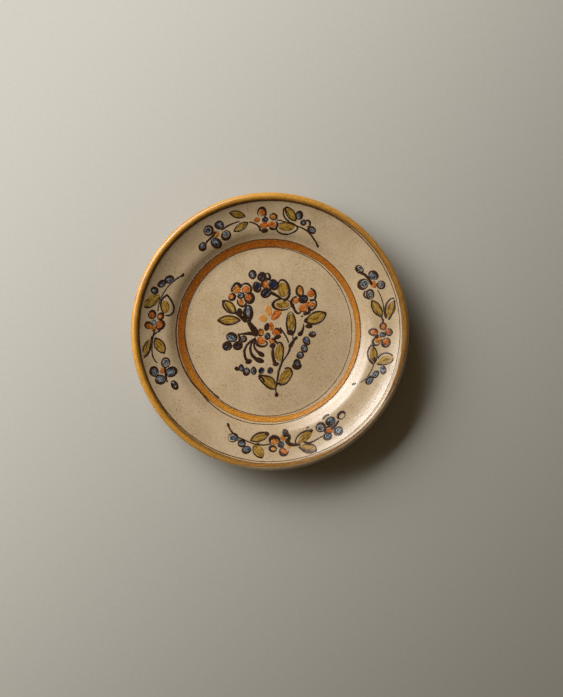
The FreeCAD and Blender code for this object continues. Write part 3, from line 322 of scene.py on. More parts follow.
backRows = sectionOf("back_glaze")
recessRows = sectionOf("recess_glaze")[::-1]
faceGlaze = turnPiece("faceGlaze", splitRun(faceRows, faceEnd), faceLift)
backGlaze = turnPiece("backGlaze", splitRun(backRows, int(np.argmin(backRows[:, 1]))), backLift)
recessEnd = int(np.argmin(recessRows[:, 1]))
recessGlaze = turnPiece("recessGlaze", splitRun(recessRows, recessEnd), recessLift)
clayRun = smoothRun(sectionOf("stoneware_body"), turning["coarse"])
stonewareBody = turnPiece("stonewareBody", clayRun, warpOf)
standFor(faceGlaze, "cream_glaze", "face_glaze")
standFor(backGlaze, "cream_glaze", "back_glaze")
standFor(recessGlaze, "cream_glaze", "recess_glaze")
standFor(stonewareBody, "stoneware", "stoneware_body")
print("clay and glaze turned")

# banding, laid on the turning wheel

banding = {
    "finePitch": 1.3 * mm,  # the edges waver at two sizes
    "broadPitch": 6 * mm,
    "broadShare": 1.5,
    "broadSeed": 7,
    "rimGap": 0.02 * mm,
    "narrowest": 0.08 * mm,
    "sunk": 0.05 * mm,
}


def givePlaces(piece, places, gaps):
    # each point's place along and across its stroke in millimetres, its tone, and its distance
    # in from the edge
    mesh = piece.data
    place = mesh.attributes.new("strokePlace", "FLOAT_VECTOR", "POINT")
    place.data.foreach_set("vector", np.ravel(places))
    gap = mesh.attributes.new("edgeGap", "FLOAT", "POINT")
    gap.data.foreach_set("value", np.ravel(gaps))


def domeOf(gap, shoulder):
    # rises in a quarter round from nothing at a mark's edge to 1 at its shoulder
    return np.sqrt(np.clip(1 - (1 - np.clip(gap / shoulder, 0, 1)) ** 2, 0, 1))


def roundTheWheel(stops, angles):
    # a value given at a few angles, eased between them all the way round
    stops = sorted(stops)
    turns = np.array([stop[0] for stop in stops] + [stops[0][0] + 360])
    values = np.array([stop[1] for stop in stops] + [stops[0][1]])
    places = (np.degrees(angles) - turns[0]) % 360 + turns[0]
    index = np.clip(np.searchsorted(turns, places, side="right") - 1, 0, len(turns) - 2)
    share = (places - turns[index]) / (turns[index + 1] - turns[index])
    ease = (1 - np.cos(np.pi * share)) / 2
    return values[index] * (1 - ease) + values[index + 1] * ease


def shiver(angles, radius, pitch, seed):
    # smooth unevenness of a brush held against the wheel
    turns = radius / pitch
    return np.array([noise.noise((turns * math.cos(a), turns * math.sin(a), seed)) for a in angles])


def paintRing(name, inner, outer, look):
    # a strip of paint on the face between two uneven edges, given as radii round the wheel
    hand = banding
    around = 2 * turning["around"]
    angles = np.arange(around) * 2 * np.pi / around
    seed = look["seed"]
    middle = (np.mean(inner(angles)) + np.mean(outer(angles))) / 2
    edges = []
    for side, line in enumerate((inner, outer)):
        fine = shiver(angles, middle, hand["finePitch"], seed + side)
        broad = shiver(angles, middle, hand["broadPitch"], seed + side + hand["broadSeed"])
        rough = fine + hand["broadShare"] * broad
        edges.append(np.clip(line(angles) + look["rough"] * rough, 0, rimRadius - hand["rimGap"]))
    starts, ends = (np.interp(edge, faceRun[:, 0], faceAlong) for edge in edges)
    ends = np.maximum(ends, starts + hand["narrowest"])
    # round the well and rim bands this tone is painted shade, darker on the upper left
    tone = roundTheWheel(look["tone"], angles)
    across = look["across"]
    rows, places, gaps = [], [], []
    for side in (1, -1):
        for k in range(across + 1):
            share = k / across
            along = starts + (ends - starts) * share
            gap = np.minimum(along - starts, ends - along)
            rise = look["height"] * domeOf(gap, look["shoulder"]) if side > 0 else -hand["sunk"]
            radius = np.interp(along, faceAlong, faceRun[:, 0])
            height = np.interp(along, faceAlong, faceRun[:, 1])
            radius = radius - rise * np.interp(along, faceAlong, faceSlope[:, 1])
            height = height + rise * np.interp(along, faceAlong, faceSlope[:, 0])
            height = height + warpOf(radius, angles)
            rows.append(np.stack([radius * np.cos(angles), radius * np.sin(angles), height], axis=1))
            places.append(np.stack([angles * middle / mm, along / mm, tone], axis=1))
            # with poolBoth off the gap runs from the inner edge only; on the rim band this gives a painted
            # shade across its width, darkest on the lip's inner slope
            gaps.append((gap if look["poolBoth"] else along - starts) / mm)
    # over the top from the inner edge to the outer, and back underneath
    order = list(range(across + 1)) + list(range(len(rows) - 1, across, -1))
    faces = []
    for one, other in zip(order, order[1:] + order[:1]):
        for i in range(around):
            j = (i + 1) % around
            faces.append((one * around + i, other * around + i, other * around + j, one * around + j))
    piece = fromRows(name, np.concatenate(rows), faces)
    givePlaces(piece, np.concatenate(places), np.concatenate(gaps))
    return piece


def ringRadii(node):
    places = meshOf(node)[0]
    radii = np.hypot(places[:, 0], places[:, 1])
    return float(radii.min()), float(radii.max())


def wander(base, stops):
    return lambda angles: base + mm * roundTheWheel(stops, angles)


# angles in degrees round from +X, each with an offset from the ring in millimetres

wellBandLook = {
    "inner": [
        (0, 0.4), (40, 0.1), (70, 0), (95, -0.3), (125, 0), (160, 0.3), (210, 0.4), (240, 0.6),
        (270, 0.3), (315, 0.6),
    ],
    "outer": [
        (0, -0.2), (45, 0.3), (90, 1.2), (130, 1.4), (155, 1.4), (200, 1.3), (245, 0.5), (285, 0),
        (330, -0.5),
    ],
    "poolBoth": True,
    "rough": 0.20 * mm,
    "shoulder": 0.7 * mm,
    "height": 0.12 * mm,
    "across": 12,
    # the tone round the wheel is painted shade: the band is mixed towards its darker copy on the upper left,
    # where the wall faces away from the light
    "tone": [
        (0, 0.35), (45, 0.7), (90, 0.95), (135, 1), (180, 0.9), (215, 0.5), (250, 0.1), (290, 0),
        (330, 0.15),
    ],
    "seed": 3.0,
}
innerLineLook = {
    "poolBoth": True,
    "path": [
        (0, -1.7), (20, -1.3), (40, -0.6), (60, 0.1), (90, 0.5), (120, 0.9), (160, 1.2),
        (180, 1.3), (200, 0.6), (218, 0.3), (231, 0.3), (235, 1.0), (262, 0.9), (285, 0.1),
        (300, -0.6), (320, -1.3), (340, -1.6),
    ],
    "width": [
        (0, 0.65), (45, 0.8), (75, 0.75), (150, 0.8), (190, 1.1), (215, 1.5), (228, 1.6),
        (231, 2.3), (234, 0.9), (280, 0.7),
    ],
    "rough": 0.09 * mm,
    "shoulder": 0.35 * mm,
    "height": 0.17 * mm,
    "across": 6,
    "tone": [(0, 0.5), (120, 1), (220, 0.2)],
    "seed": 11.0,
}
outerLineLook = {
    "poolBoth": True,
    "path": [
        (0, -1.2), (20, -1.0), (55, -0.9), (80, 0.2), (110, 0.4), (145, 0.5), (165, 1.1),
        (182, 1.7), (200, 1.5), (212, 0.8), (221, -0.1), (225.5, -0.2), (228.5, 0.8), (240, 1.4),
        (256, 1.3), (270, 0.6), (285, 0), (300, -0.9), (325, -1.3),
    ],
    "width": [
        (0, 0.55), (40, 0.8), (100, 0.75), (150, 0.95), (180, 1.2), (205, 1.5), (222, 1.7),
        (226, 2.6), (230, 1.0), (260, 0.8), (290, 0.6), (330, 0.5),
    ],
    "rough": 0.10 * mm,
    "shoulder": 0.35 * mm,
    "height": 0.17 * mm,
    "across": 6,
    "tone": [(0, 0.5), (120, 1), (220, 0.2)],
    "seed": 19.0,
}
rimBandLook = {
    "inner": [
        (0, 0.8), (30, 1.0), (60, 0.9), (90, 0), (150, 0), (200, 0.1), (250, 0.4), (290, 0.5),
        (305, 1.2), (322, 2.6), (340, 1.2),
    ],
    "outer": [
        (0, -0.6), (30, -0.2), (60, 0), (120, 0.1), (200, 0.1), (240, 0), (252, -1.4), (265, -2.8),
        (290, -3.2), (305, -4.0), (325, -4.2), (342, -2.8), (355, -1.6),
    ],
    # the darkening runs in from the inner edge only: painted shade of the lip's inner slope
    "poolBoth": False,
    "rough": 0.22 * mm,
    "shoulder": 0.8 * mm,
    "height": 0.12 * mm,
    "across": 16,
    # the tone round the wheel is painted shade, darker on the left and upper left
    "tone": [
        (0, 0.2), (45, 0.5), (90, 0.9), (135, 0.85), (180, 1), (225, 0.75), (270, 0.25), (315, 0),
    ],
    "seed": 29.0,
}
rimLineLook = {
    "poolBoth": True,
    "path": [
        (0, 0.2), (20, 0.6), (45, 1.1), (60, 1.5), (80, 1.2), (100, 0.9), (150, 1.0), (195, 1.0),
        (235, 0.6), (260, 0.4), (285, 0.2), (320, 0.5), (345, 0.1),
    ],
    "width": [
        (0, 0.6), (40, 0.9), (65, 1.2), (110, 1.35), (170, 1.3), (205, 1.2), (240, 0.95),
        (280, 0.7), (310, 0.5), (335, 0.4),
    ],
    "rough": 0.09 * mm,
    "shoulder": 0.35 * mm,
    "height": 0.17 * mm,
    "across": 6,
    "tone": [(0, 0.5), (120, 1), (220, 0.2)],
    "seed": 37.0,
}


def paintBand(name, node, look):
    low, high = ringRadii(node)
    return paintRing(name, wander(low, look["inner"]), wander(high, look["outer"]), look)


def paintLine(name, node, look):
    middle = sum(ringRadii(node)) / 2
    path, width = wander(middle, look["path"]), wander(0, look["width"])
    return paintRing(name, lambda a: path(a) - width(a) / 2, lambda a: path(a) + width(a) / 2, look)


wellBand = paintBand("wellBand", "well_band", wellBandLook)
rimBand = paintBand("rimBand", "rim_band", rimBandLook)
wellLineInner = paintLine("wellLineInner", "well_line_inner", innerLineLook)
wellLineOuter = paintLine("wellLineOuter", "well_line_outer", outerLineLook)
rimLine = paintLine("rimLine", "rim_line", rimLineLook)
standFor(wellBand, "ochre_band", "well_band")
standFor(rimBand, "ochre_band", "rim_band")
standFor(wellLineInner, "brown_line", "well_line_inner")
standFor(wellLineOuter, "brown_line", "well_line_outer")
standFor(rimLine, "brown_line", "rim_line")
print("bands laid")

# brush marks, redrawn from the frame with a soft hand

brushwork = {
    "seed": 1,  # not 0, which would give every run its own marks
    "edgeStep": 0.24,  # millimetres between points on a mark's edge
    "fillStep": 0.36,
    "tremble": 0.17,
    "trembleSize": 3.2,
    "fray": 0.05,
    "fraySize": 0.9,
    "fewest": 6,  # a loop with fewer points is dropped
    "fillClear": 0.6,  # share of a step that inner points keep from the edge
    "lift": 0.02 * mm,
    "sunk": 0.06 * mm,
    "join": 0.01,  # corners nearer than this become one
    "sameSpot": 1e-6,
    "upper": 0.3,  # a face that leans no more than this is on the upper side
    "swell": 0.35,  # share by which the paint's thickness varies
    "swellSize": 2.5,
    "toneCells": 0.7,
}
reliefs = {
    # how thick each colour lies, in metres, how far in its shoulder reaches
    # and how far it has spread past its outline in the frame, both in millimetres
    "stem": (0.26 * mm, 0.75, 0.12),
    "outlines": (0.24 * mm, 0.6, 0.22),
    "cobalt": (0.22 * mm, 1.2, 0.45),
    "blue": (0.16 * mm, 1.0, 0.60),
    "orange": (0.14 * mm, 1.0, 0.65),
    "ochre": (0.10 * mm, 1.2, 0.20),
    "leaf": (0.10 * mm, 1.2, 0.55),
}

noise.seed_set(brushwork["seed"])


def markEdges(node):
    # loops round the upper side of each mark, in millimetres, with the paint on their left
    places, triangles = meshOf(node)
    sides = places[triangles]
    normals = np.cross(sides[:, 1] - sides[:, 0], sides[:, 2] - sides[:, 0])
    upper = triangles[normals[:, 2] > brushwork["upper"] * np.linalg.norm(normals, axis=1)]
    edges = np.concatenate([upper[:, [0, 1]], upper[:, [1, 2]], upper[:, [2, 0]]]).tolist()
    known = set(map(tuple, edges))
    ahead = {}
    for a, b in edges:
        if (b, a) not in known:
            ahead.setdefault(a, []).append(b)
    loops = []
    while ahead:
        start = min(ahead)
        walk = [start]
        while walk[-1] in ahead:
            options = ahead[walk[-1]]
            step = options.pop()
            if not options:
                del ahead[walk[-1]]
            if step == start:
                break
            walk.append(step)
        loops.append(places[walk, :2] / mm)
    return loops


def tremble(points):
    # moves points together by a smooth field, so marks that meet still meet
    look = brushwork
    out = np.empty_like(points)
    for i, (x, y) in enumerate(points):
        wide = noise.noise_vector((x / look["trembleSize"], y / look["trembleSize"], 0.5))
        fine = noise.noise_vector((x / look["fraySize"], y / look["fraySize"], 4.5))
        out[i, 0] = x + look["tremble"] * wide.x + look["fray"] * fine.x
        out[i, 1] = y + look["tremble"] * wide.y + look["fray"] * fine.y
    return out


def evenLoop(loop, step):
    # the loop with its points evenly spaced and its corners eased
    closed = np.vstack([loop, loop[:1]])
    lengths = np.linalg.norm(np.diff(closed, axis=0), axis=1)
    along = np.concatenate([[0], np.cumsum(lengths)])
    count = int(along[-1] / step)
    if count < brushwork["fewest"]:
        return None
    places = np.arange(count) * along[-1] / count
    even = np.stack([np.interp(places, along, closed[:, k]) for k in range(2)], axis=1)
    return (np.roll(even, 1, axis=0) + 2 * even + np.roll(even, -1, axis=0)) / 4


def fillPoints(triangles, step):
    # a staggered grid over the upper triangles
    slack = 1e-9  # a point on a side counts as inside
    found = set()
    for a, b, c in triangles:
        low = np.minimum(np.minimum(a, b), c)
        high = np.maximum(np.maximum(a, b), c)
        for row in range(math.ceil(low[1] / step), math.floor(high[1] / step) + 1):
            shift = 0.5 * (row % 2)
            first, last = math.ceil(low[0] / step - shift), math.floor(high[0] / step - shift)
            for column in range(first, last + 1):
                x, y = (column + shift) * step, row * step
                sides = [
                    (q[0] - p[0]) * (y - p[1]) - (q[1] - p[1]) * (x - p[0])
                    for p, q in ((a, b), (b, c), (c, a))
                ]
                if min(sides) >= -slack:
                    found.add((row, column))
    spots = [((column + 0.5 * (row % 2)) * step, row * step) for row, column in sorted(found)]
    return np.array(spots).reshape(-1, 2)


def growLoop(loop, spread):
    # pushes a loop's points away from its paint, which is on its left
    ahead = np.roll(loop, -1, axis=0) - np.roll(loop, 1, axis=0)
    ahead /= np.linalg.norm(ahead, axis=1)[:, None]
    return loop + spread * np.stack([ahead[:, 1], -ahead[:, 0]], axis=1)


def turnsRound(points, loops):
    # how many times the loops go round each point
    turns = np.zeros(len(points), int)
    for loop in loops:
        within = (points >= loop.min(axis=0)) & (points <= loop.max(axis=0))
        near = np.flatnonzero(np.all(within, axis=1))
        x, y = points[near, 0, None], points[near, 1, None]
        (ax, ay), (bx, by) = loop.T, np.roll(loop, -1, axis=0).T
        side = (bx - ax) * (y - ay) - (by - ay) * (x - ax)
        rising = (ay <= y) & (by > y) & (side > 0)
        falling = (ay > y) & (by <= y) & (side < 0)
        turns[near] += rising.sum(axis=1) - falling.sum(axis=1)
    return turns


def paintedArea(points, borders, loops, join):
    # triangles of the area that the loops go round, and the edges of that area
    cut = delaunay_2d_cdt([Vector(point) for point in points], borders, [], 0, join)
    spots = np.array([tuple(point) for point in cut[0]])
    corners = np.array([tuple(face) for face in cut[2] if len(face) == 3])
    corners = corners[turnsRound(spots[corners].mean(axis=1), loops) > 0]
    used, corners = np.unique(corners, return_inverse=True)
    corners = [tuple(triangle) for triangle in corners.reshape(-1, 3).tolist()]
    sides = {(triangle[k], triangle[(k + 1) % 3]) for triangle in corners for k in range(3)}
    return spots[used], corners, sorted(side for side in sides if side[::-1] not in sides)


def islandsOf(triangles, count):
    # which separate mark each point belongs to
    parent = list(range(count))

    def top(index):
        while parent[index] != index:
            parent[index] = parent[parent[index]]
            index = parent[index]
        return index

    for a, b, c in triangles:
        parent[top(a)] = top(b)
        parent[top(b)] = top(c)
    return np.array([top(index) for index in range(count)])


def paintMarks(name, node, colour, number):
    look = brushwork
    height, shoulder, spread = reliefs[colour]
    loops = [evenLoop(loop, look["edgeStep"]) for loop in markEdges(node)]
    loops = [tremble(growLoop(loop, spread)) for loop in loops if loop is not None]
    borders, start = [], 0
    for loop in loops:
        count = len(loop)
        borders += [(start + i, start + (i + 1) % count) for i in range(count)]
        start += count
    spots, upper, borders = paintedArea(np.concatenate(loops), borders, loops, look["join"])
    edge = sorted({corner for border in borders for corner in border})
    place = {corner: i for i, corner in enumerate(edge)}
    tree = KDTree(len(edge))
    for i, corner in enumerate(edge):
        tree.insert((*spots[corner], 0), i)
    tree.balance()
    step = look["fillStep"]
    clear = look["fillClear"] * step
    fill = [p for p in fillPoints(spots[np.array(upper)], step) if tree.find((*p, 0))[2] > clear]
    points = np.concatenate([spots[edge], np.array(fill).reshape(-1, 2)])
    borders = [(place[one], place[other]) for one, other in borders]
    spots, upper, borders = paintedArea(points, borders, loops, look["sameSpot"])

    # a soft shoulder rises from the edge, and a copy below closes the mark
    radius = np.hypot(spots[:, 0], spots[:, 1]) * mm
    ground = faceHeight(radius, np.arctan2(spots[:, 1], spots[:, 0]))
    gap = np.array([tree.find((*spot, 0))[2] for spot in spots])
    size = look["swellSize"]
    swell = np.array([1 + look["swell"] * noise.noise((x / size, y / size, number)) for x, y in spots])
    top = np.column_stack([spots * mm, ground + look["lift"] + height * domeOf(gap, shoulder) * swell])
    foot = np.column_stack([spots * mm, ground - look["sunk"]])
    count = len(spots)
    faces = list(upper) + [(c + count, b + count, a + count) for a, b, c in upper]
    faces += [(b, a, a + count, b + count) for a, b in borders]
    piece = fromRows(name, np.concatenate([top, foot]), faces)

    # each mark's own length and width give the brush its direction
    islands = islandsOf(upper, count)
    places = np.zeros((count, 3))
    for island in np.unique(islands):
        mine = islands == island
        own = spots[mine]
        centre = own.mean(axis=0)
        ways = np.linalg.eigh(np.cov((own - centre).T))[1]
        places[mine, 0] = (own - centre) @ ways[:, 1]
        places[mine, 1] = (own - centre) @ ways[:, 0]
        cells = look["toneCells"]
        places[mine, 2] = noise.cell((centre[0] * cells, centre[1] * cells, number))
    givePlaces(piece, np.concatenate([places, places]), np.concatenate([gap, gap]))
    return piece


slots = {
    "stem": "stem_brown",
    "outlines": "brown_outline",
    "cobalt": "cobalt",
    "blue": "slate_blue",
    "orange": "orange",
    "ochre": "ochre",
    "leaf": "leaf_olive",
}
markPieces = {}
for number, node in enumerate(sorted(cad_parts)):
    colour = node.split("_")[-1]
    colour = "stem" if colour == "stems" else colour
    if colour not in slots or not ("bouquet" in node or "sprig" in node):
        continue
    words = node.split("_")
    name = words[0] + "".join(word.capitalize() for word in words[1:])
    piece = paintMarks(name, node, colour, float(number))
    standFor(piece, slots[colour], node)
    markPieces[name] = (piece, colour)
print("brush marks painted:", len(markPieces))

# materials


class Wiring:
    # short words for adding and joining nodes
    def __init__(self, tree):
        self.tree = tree

    def add(self, kind, inputs=None, **settings):
        node = self.tree.nodes.new(kind)
        for word, value in settings.items():
            setattr(node, word, value)
        for socket, value in (inputs or {}).items():
            if isinstance(value, bpy.types.NodeSocket):
                self.tree.links.new(value, node.inputs[socket])
            else:
                node.inputs[socket].default_value = value
        return node

    def join(self, source, target):
        self.tree.links.new(source, target)

    def maths(self, operation, a, b=0.0, clamp=False):
        return self.add("ShaderNodeMath", {0: a, 1: b}, operation=operation, use_clamp=clamp).outputs[0]

    def span(self, value, low, high, start=0.0, end=1.0):
        inputs = {"Value": value, "From Min": low, "From Max": high, "To Min": start, "To Max": end}
        return self.add("ShaderNodeMapRange", inputs, interpolation_type="SMOOTHSTEP").outputs["Result"]

    def blend(self, factor, one, other, mode="MIX"):
        node = self.add("ShaderNodeMix", {0: factor, 6: one, 7: other}, data_type="RGBA", blend_type=mode)
        return node.outputs[2]

    def grainy(self, shade, grain, amount):
        # lightens and darkens a colour by up to this share
        level = self.span(grain, 0.3, 0.7, 1 - amount, 1 + amount)
        gray = self.add("ShaderNodeCombineColor", {0: level, 1: level, 2: level}).outputs[0]
        return self.blend(1.0, shade, gray, "MULTIPLY")

    def cloud(self, vector, scale, detail=3.0, roughness=0.5):
        inputs = {"Vector": vector, "Scale": scale, "Detail": detail, "Roughness": roughness}
        return self.add("ShaderNodeTexNoise", inputs).outputs["Fac"]


def newGroup(name, inputs, outputs):
    # an empty node group with its named sockets
    group = bpy.data.node_groups.new(name, "ShaderNodeTree")
    for label, kind, value in inputs:
        socket = group.interface.new_socket(label, in_out="INPUT", socket_type=kind)
        if value is not None:
            socket.default_value = value
    for label, kind in outputs:
        group.interface.new_socket(label, in_out="OUTPUT", socket_type=kind)
    wiring = Wiring(group)
    return group, wiring, wiring.add("NodeGroupInput"), wiring.add("NodeGroupOutput")


speckValues = {
    "cells": 620.0,  # places for a speck along a metre
    "share": 0.3,  # how many of them have one, at full density
    "patches": 60.0,
    "dot": (0.10, 0.26),  # a speck fades between these distances from its middle
    "halo": (0.10, 0.55),
    "mottle": 34.0,
    "grain": 700.0,
}


def ironSpecksGroup():
    # dark iron specks, few and uneven, and the softer mottle round them
    values = speckValues
    inputs = [("Density", "NodeSocketFloat", 0.5), ("Size", "NodeSocketFloat", 1.0)]
    outputs = [
        ("Specks", "NodeSocketFloat"), ("Halo", "NodeSocketFloat"), ("Mottle", "NodeSocketFloat"),
        ("Grain", "NodeSocketFloat"),
    ]
    group, w, start, end = newGroup("ironSpecks", inputs, outputs)
    place = w.add("ShaderNodeTexCoord").outputs["Object"]
    scale = w.maths("DIVIDE", values["cells"], start.outputs["Size"])
    cells = w.add("ShaderNodeTexVoronoi", {"Vector": place, "Scale": scale, "Randomness": 1.0}, feature="F1")
    chance = w.add("ShaderNodeSeparateColor", {"Color": cells.outputs["Color"]}).outputs[0]
    few = w.maths("LESS_THAN", chance, w.maths("MULTIPLY", start.outputs["Density"], values["share"]))
    patch = w.span(w.cloud(place, values["patches"]), 0.35, 0.7, 0.25, 1.0)
    dot = w.span(cells.outputs["Distance"], *values["dot"], 1.0, 0.0)
    halo = w.span(cells.outputs["Distance"], *values["halo"], 1.0, 0.0)
    few = w.maths("MULTIPLY", few, patch)
    w.join(w.maths("MULTIPLY", dot, few), end.inputs["Specks"])
    w.join(w.maths("MULTIPLY", halo, few), end.inputs["Halo"])
    w.join(w.cloud(place, values["mottle"], 5.0, 0.6), end.inputs["Mottle"])
    w.join(w.cloud(place, values["grain"], 3.0, 0.7), end.inputs["Grain"])
    return group


kilnValues = {
    "peel": 420.0,
    "pinCells": 300.0,
    "pin": (0.05, 0.14),  # a pinhole's wall, from its middle outwards
    "pinShare": 0.05,
    "pinDepth": 2.0,
    "gloss": 90.0,
}


def kilnSkinGroup():
    # the fired surface: orange peel, pinholes, and patches a little glossier than others
    values = kilnValues
    inputs = [("Peel", "NodeSocketFloat", 1.0), ("Pinholes", "NodeSocketFloat", 1.0)]
    outputs = [("Height", "NodeSocketFloat"), ("Gloss", "NodeSocketFloat")]
    group, w, start, end = newGroup("kilnSkin", inputs, outputs)
    place = w.add("ShaderNodeTexCoord").outputs["Object"]
    peel = w.maths("MULTIPLY", w.cloud(place, values["peel"], 2.0), start.outputs["Peel"])
    spacing = {"Vector": place, "Scale": values["pinCells"], "Randomness": 1.0}
    cells = w.add("ShaderNodeTexVoronoi", spacing, feature="F1")
    chance = w.add("ShaderNodeSeparateColor", {"Color": cells.outputs["Color"]}).outputs[1]
    wall = w.span(cells.outputs["Distance"], *values["pin"], 1.0, 0.0)
    pin = w.maths("MULTIPLY", wall, w.maths("LESS_THAN", chance, values["pinShare"]))
    hole = w.maths("MULTIPLY", w.maths("MULTIPLY", pin, values["pinDepth"]), start.outputs["Pinholes"])
    w.join(w.maths("SUBTRACT", peel, hole), end.inputs["Height"])
    w.join(w.cloud(place, values["gloss"], 4.0, 0.6), end.inputs["Gloss"])
    return group


loadValues = {
    "toneShift": 37.0,  # sets one mark's streaks apart from the next one's
    "blots": 330.0,
    "grain": 1500.0,
    "streakShare": 0.55,
    "blotShare": 0.45,
    "wetLimit": 0.62,  # where paint starts to thin out on a full brush
    "dryDrop": 0.3,
    "thinReach": 0.16,
}


def brushLoadGroup():
    # how the brush left its paint: streaks along the stroke, thin places (where some colours also get a
    # painted glint), and a darker pooled edge (on the rim band a painted shade across its width)
    values = loadValues
    inputs = [
        ("Streak Length", "NodeSocketFloat", 6.0),
        ("Streak Width", "NodeSocketFloat", 0.35),
        ("Pool Width", "NodeSocketFloat", 0.5),
        ("Dryness", "NodeSocketFloat", 0.4),
    ]
    outputs = [
        ("Streak", "NodeSocketFloat"), ("Thin", "NodeSocketFloat"), ("Pool", "NodeSocketFloat"),
        ("Tone", "NodeSocketFloat"), ("Grain", "NodeSocketFloat"),
    ]
    group, w, start, end = newGroup("brushLoad", inputs, outputs)
    place = w.add("ShaderNodeAttribute", attribute_name="strokePlace").outputs["Vector"]
    gap = w.add("ShaderNodeAttribute", attribute_name="edgeGap").outputs["Fac"]
    parts = w.add("ShaderNodeSeparateXYZ", {"Vector": place})
    along = w.maths("DIVIDE", parts.outputs["X"], start.outputs["Streak Length"])
    across = w.maths("DIVIDE", parts.outputs["Y"], start.outputs["Streak Width"])
    shift = w.maths("MULTIPLY", parts.outputs["Z"], values["toneShift"])
    course = w.add("ShaderNodeCombineXYZ", {"X": along, "Y": across, "Z": shift}).outputs["Vector"]
    streak = w.cloud(course, 1.0, 3.0, 0.6)
    solid = w.add("ShaderNodeTexCoord").outputs["Object"]
    blot = w.cloud(solid, values["blots"], 4.0, 0.6)
    grain = w.cloud(solid, values["grain"], 2.0, 0.6)
    between = w.maths("SUBTRACT", 1.0, streak)  # paint thins out between the streaks, not on them
    streaky = w.maths("MULTIPLY", between, values["streakShare"])
    both = w.maths("ADD", streaky, w.maths("MULTIPLY", blot, values["blotShare"]))
    drop = w.maths("MULTIPLY", start.outputs["Dryness"], values["dryDrop"])
    limit = w.maths("SUBTRACT", values["wetLimit"], drop)
    limitEnd = w.maths("ADD", limit, values["thinReach"])
    thin = w.add("ShaderNodeMapRange", {"Value": both, "From Min": limit, "From Max": limitEnd})
    w.join(streak, end.inputs["Streak"])
    w.join(thin.outputs["Result"], end.inputs["Thin"])
    inward = w.maths("DIVIDE", gap, start.outputs["Pool Width"])
    w.join(w.maths("SUBTRACT", 1.0, inward, clamp=True), end.inputs["Pool"])
    w.join(parts.outputs["Z"], end.inputs["Tone"])
    w.join(grain, end.inputs["Grain"])
    return group


ironSpecks = ironSpecksGroup()
kilnSkin = kilnSkinGroup()
brushLoad = brushLoadGroup()


def newMaterial(name):
    material = bpy.data.materials.new(name)
    material.use_nodes = True
    wiring = Wiring(material.node_tree)
    return material, wiring, material.node_tree.nodes["Principled BSDF"]


def placeGroup(wiring, group, values):
    return wiring.add("ShaderNodeGroup", values, node_tree=group)


def colour(red, green, blue):
    return (red, green, blue, 1.0)


def glazeMaterial(name, look):
    material, w, skin = newMaterial(name)
    specks = placeGroup(w, ironSpecks, {"Density": look["specks"], "Size": look["speckSize"]})
    kiln = placeGroup(w, kilnSkin, {"Peel": look["peel"], "Pinholes": look["pinholes"]})
    ground = w.blend(w.span(specks.outputs["Mottle"], 0.3, 0.7), look["pale"], look["deep"])
    ground = w.blend(w.maths("MULTIPLY", specks.outputs["Halo"], look["haloDepth"]), ground, look["rust"])
    ground = w.blend(w.maths("MULTIPLY", specks.outputs["Specks"], look["speckDepth"]), ground, look["iron"])
    ground = w.grainy(ground, specks.outputs["Grain"], look["grain"])
    w.join(ground, skin.inputs["Base Color"])
    glossy, dull = look["rough"] - look["glossier"], look["rough"] + look["duller"]
    w.join(w.span(kiln.outputs["Gloss"], 0.3, 0.7, glossy, dull), skin.inputs["Roughness"])
    bumps = {"Height": kiln.outputs["Height"], "Strength": look["bump"], "Distance": look["bumpDepth"]}
    bump = w.add("ShaderNodeBump", bumps)
    w.join(bump.outputs["Normal"], skin.inputs["Normal"])
    skin.inputs["IOR"].default_value = look["ior"]
    return material


oatmealLook = {
    "pale": colour(0.600, 0.448, 0.272),
    "deep": colour(0.515, 0.373, 0.210),
    "rust": colour(0.30, 0.17, 0.08),
    "iron": colour(0.05, 0.03, 0.02),
    "specks": 1.5,
    "speckSize": 1.25,
    "speckDepth": 0.85,
    "grain": 0.10,
    "haloDepth": 0.35,
    "rough": 0.25,
    "glossier": 0.04,  # how far roughness strays either way
    "duller": 0.05,
    "peel": 1.0,
    "pinholes": 1.0,
    "bump": 0.35,
    "bumpDepth": 0.05 * mm,
    "ior": 1.62,
}
backLook = dict(oatmealLook, rough=0.4, pale=colour(0.56, 0.42, 0.26), deep=colour(0.45, 0.32, 0.18))
clayLook = dict(
    oatmealLook, pale=colour(0.50, 0.34, 0.21), deep=colour(0.40, 0.26, 0.15), specks=1.6,
    speckSize=0.7, rough=0.85, peel=2.5, bump=0.9, ior=1.4,
)


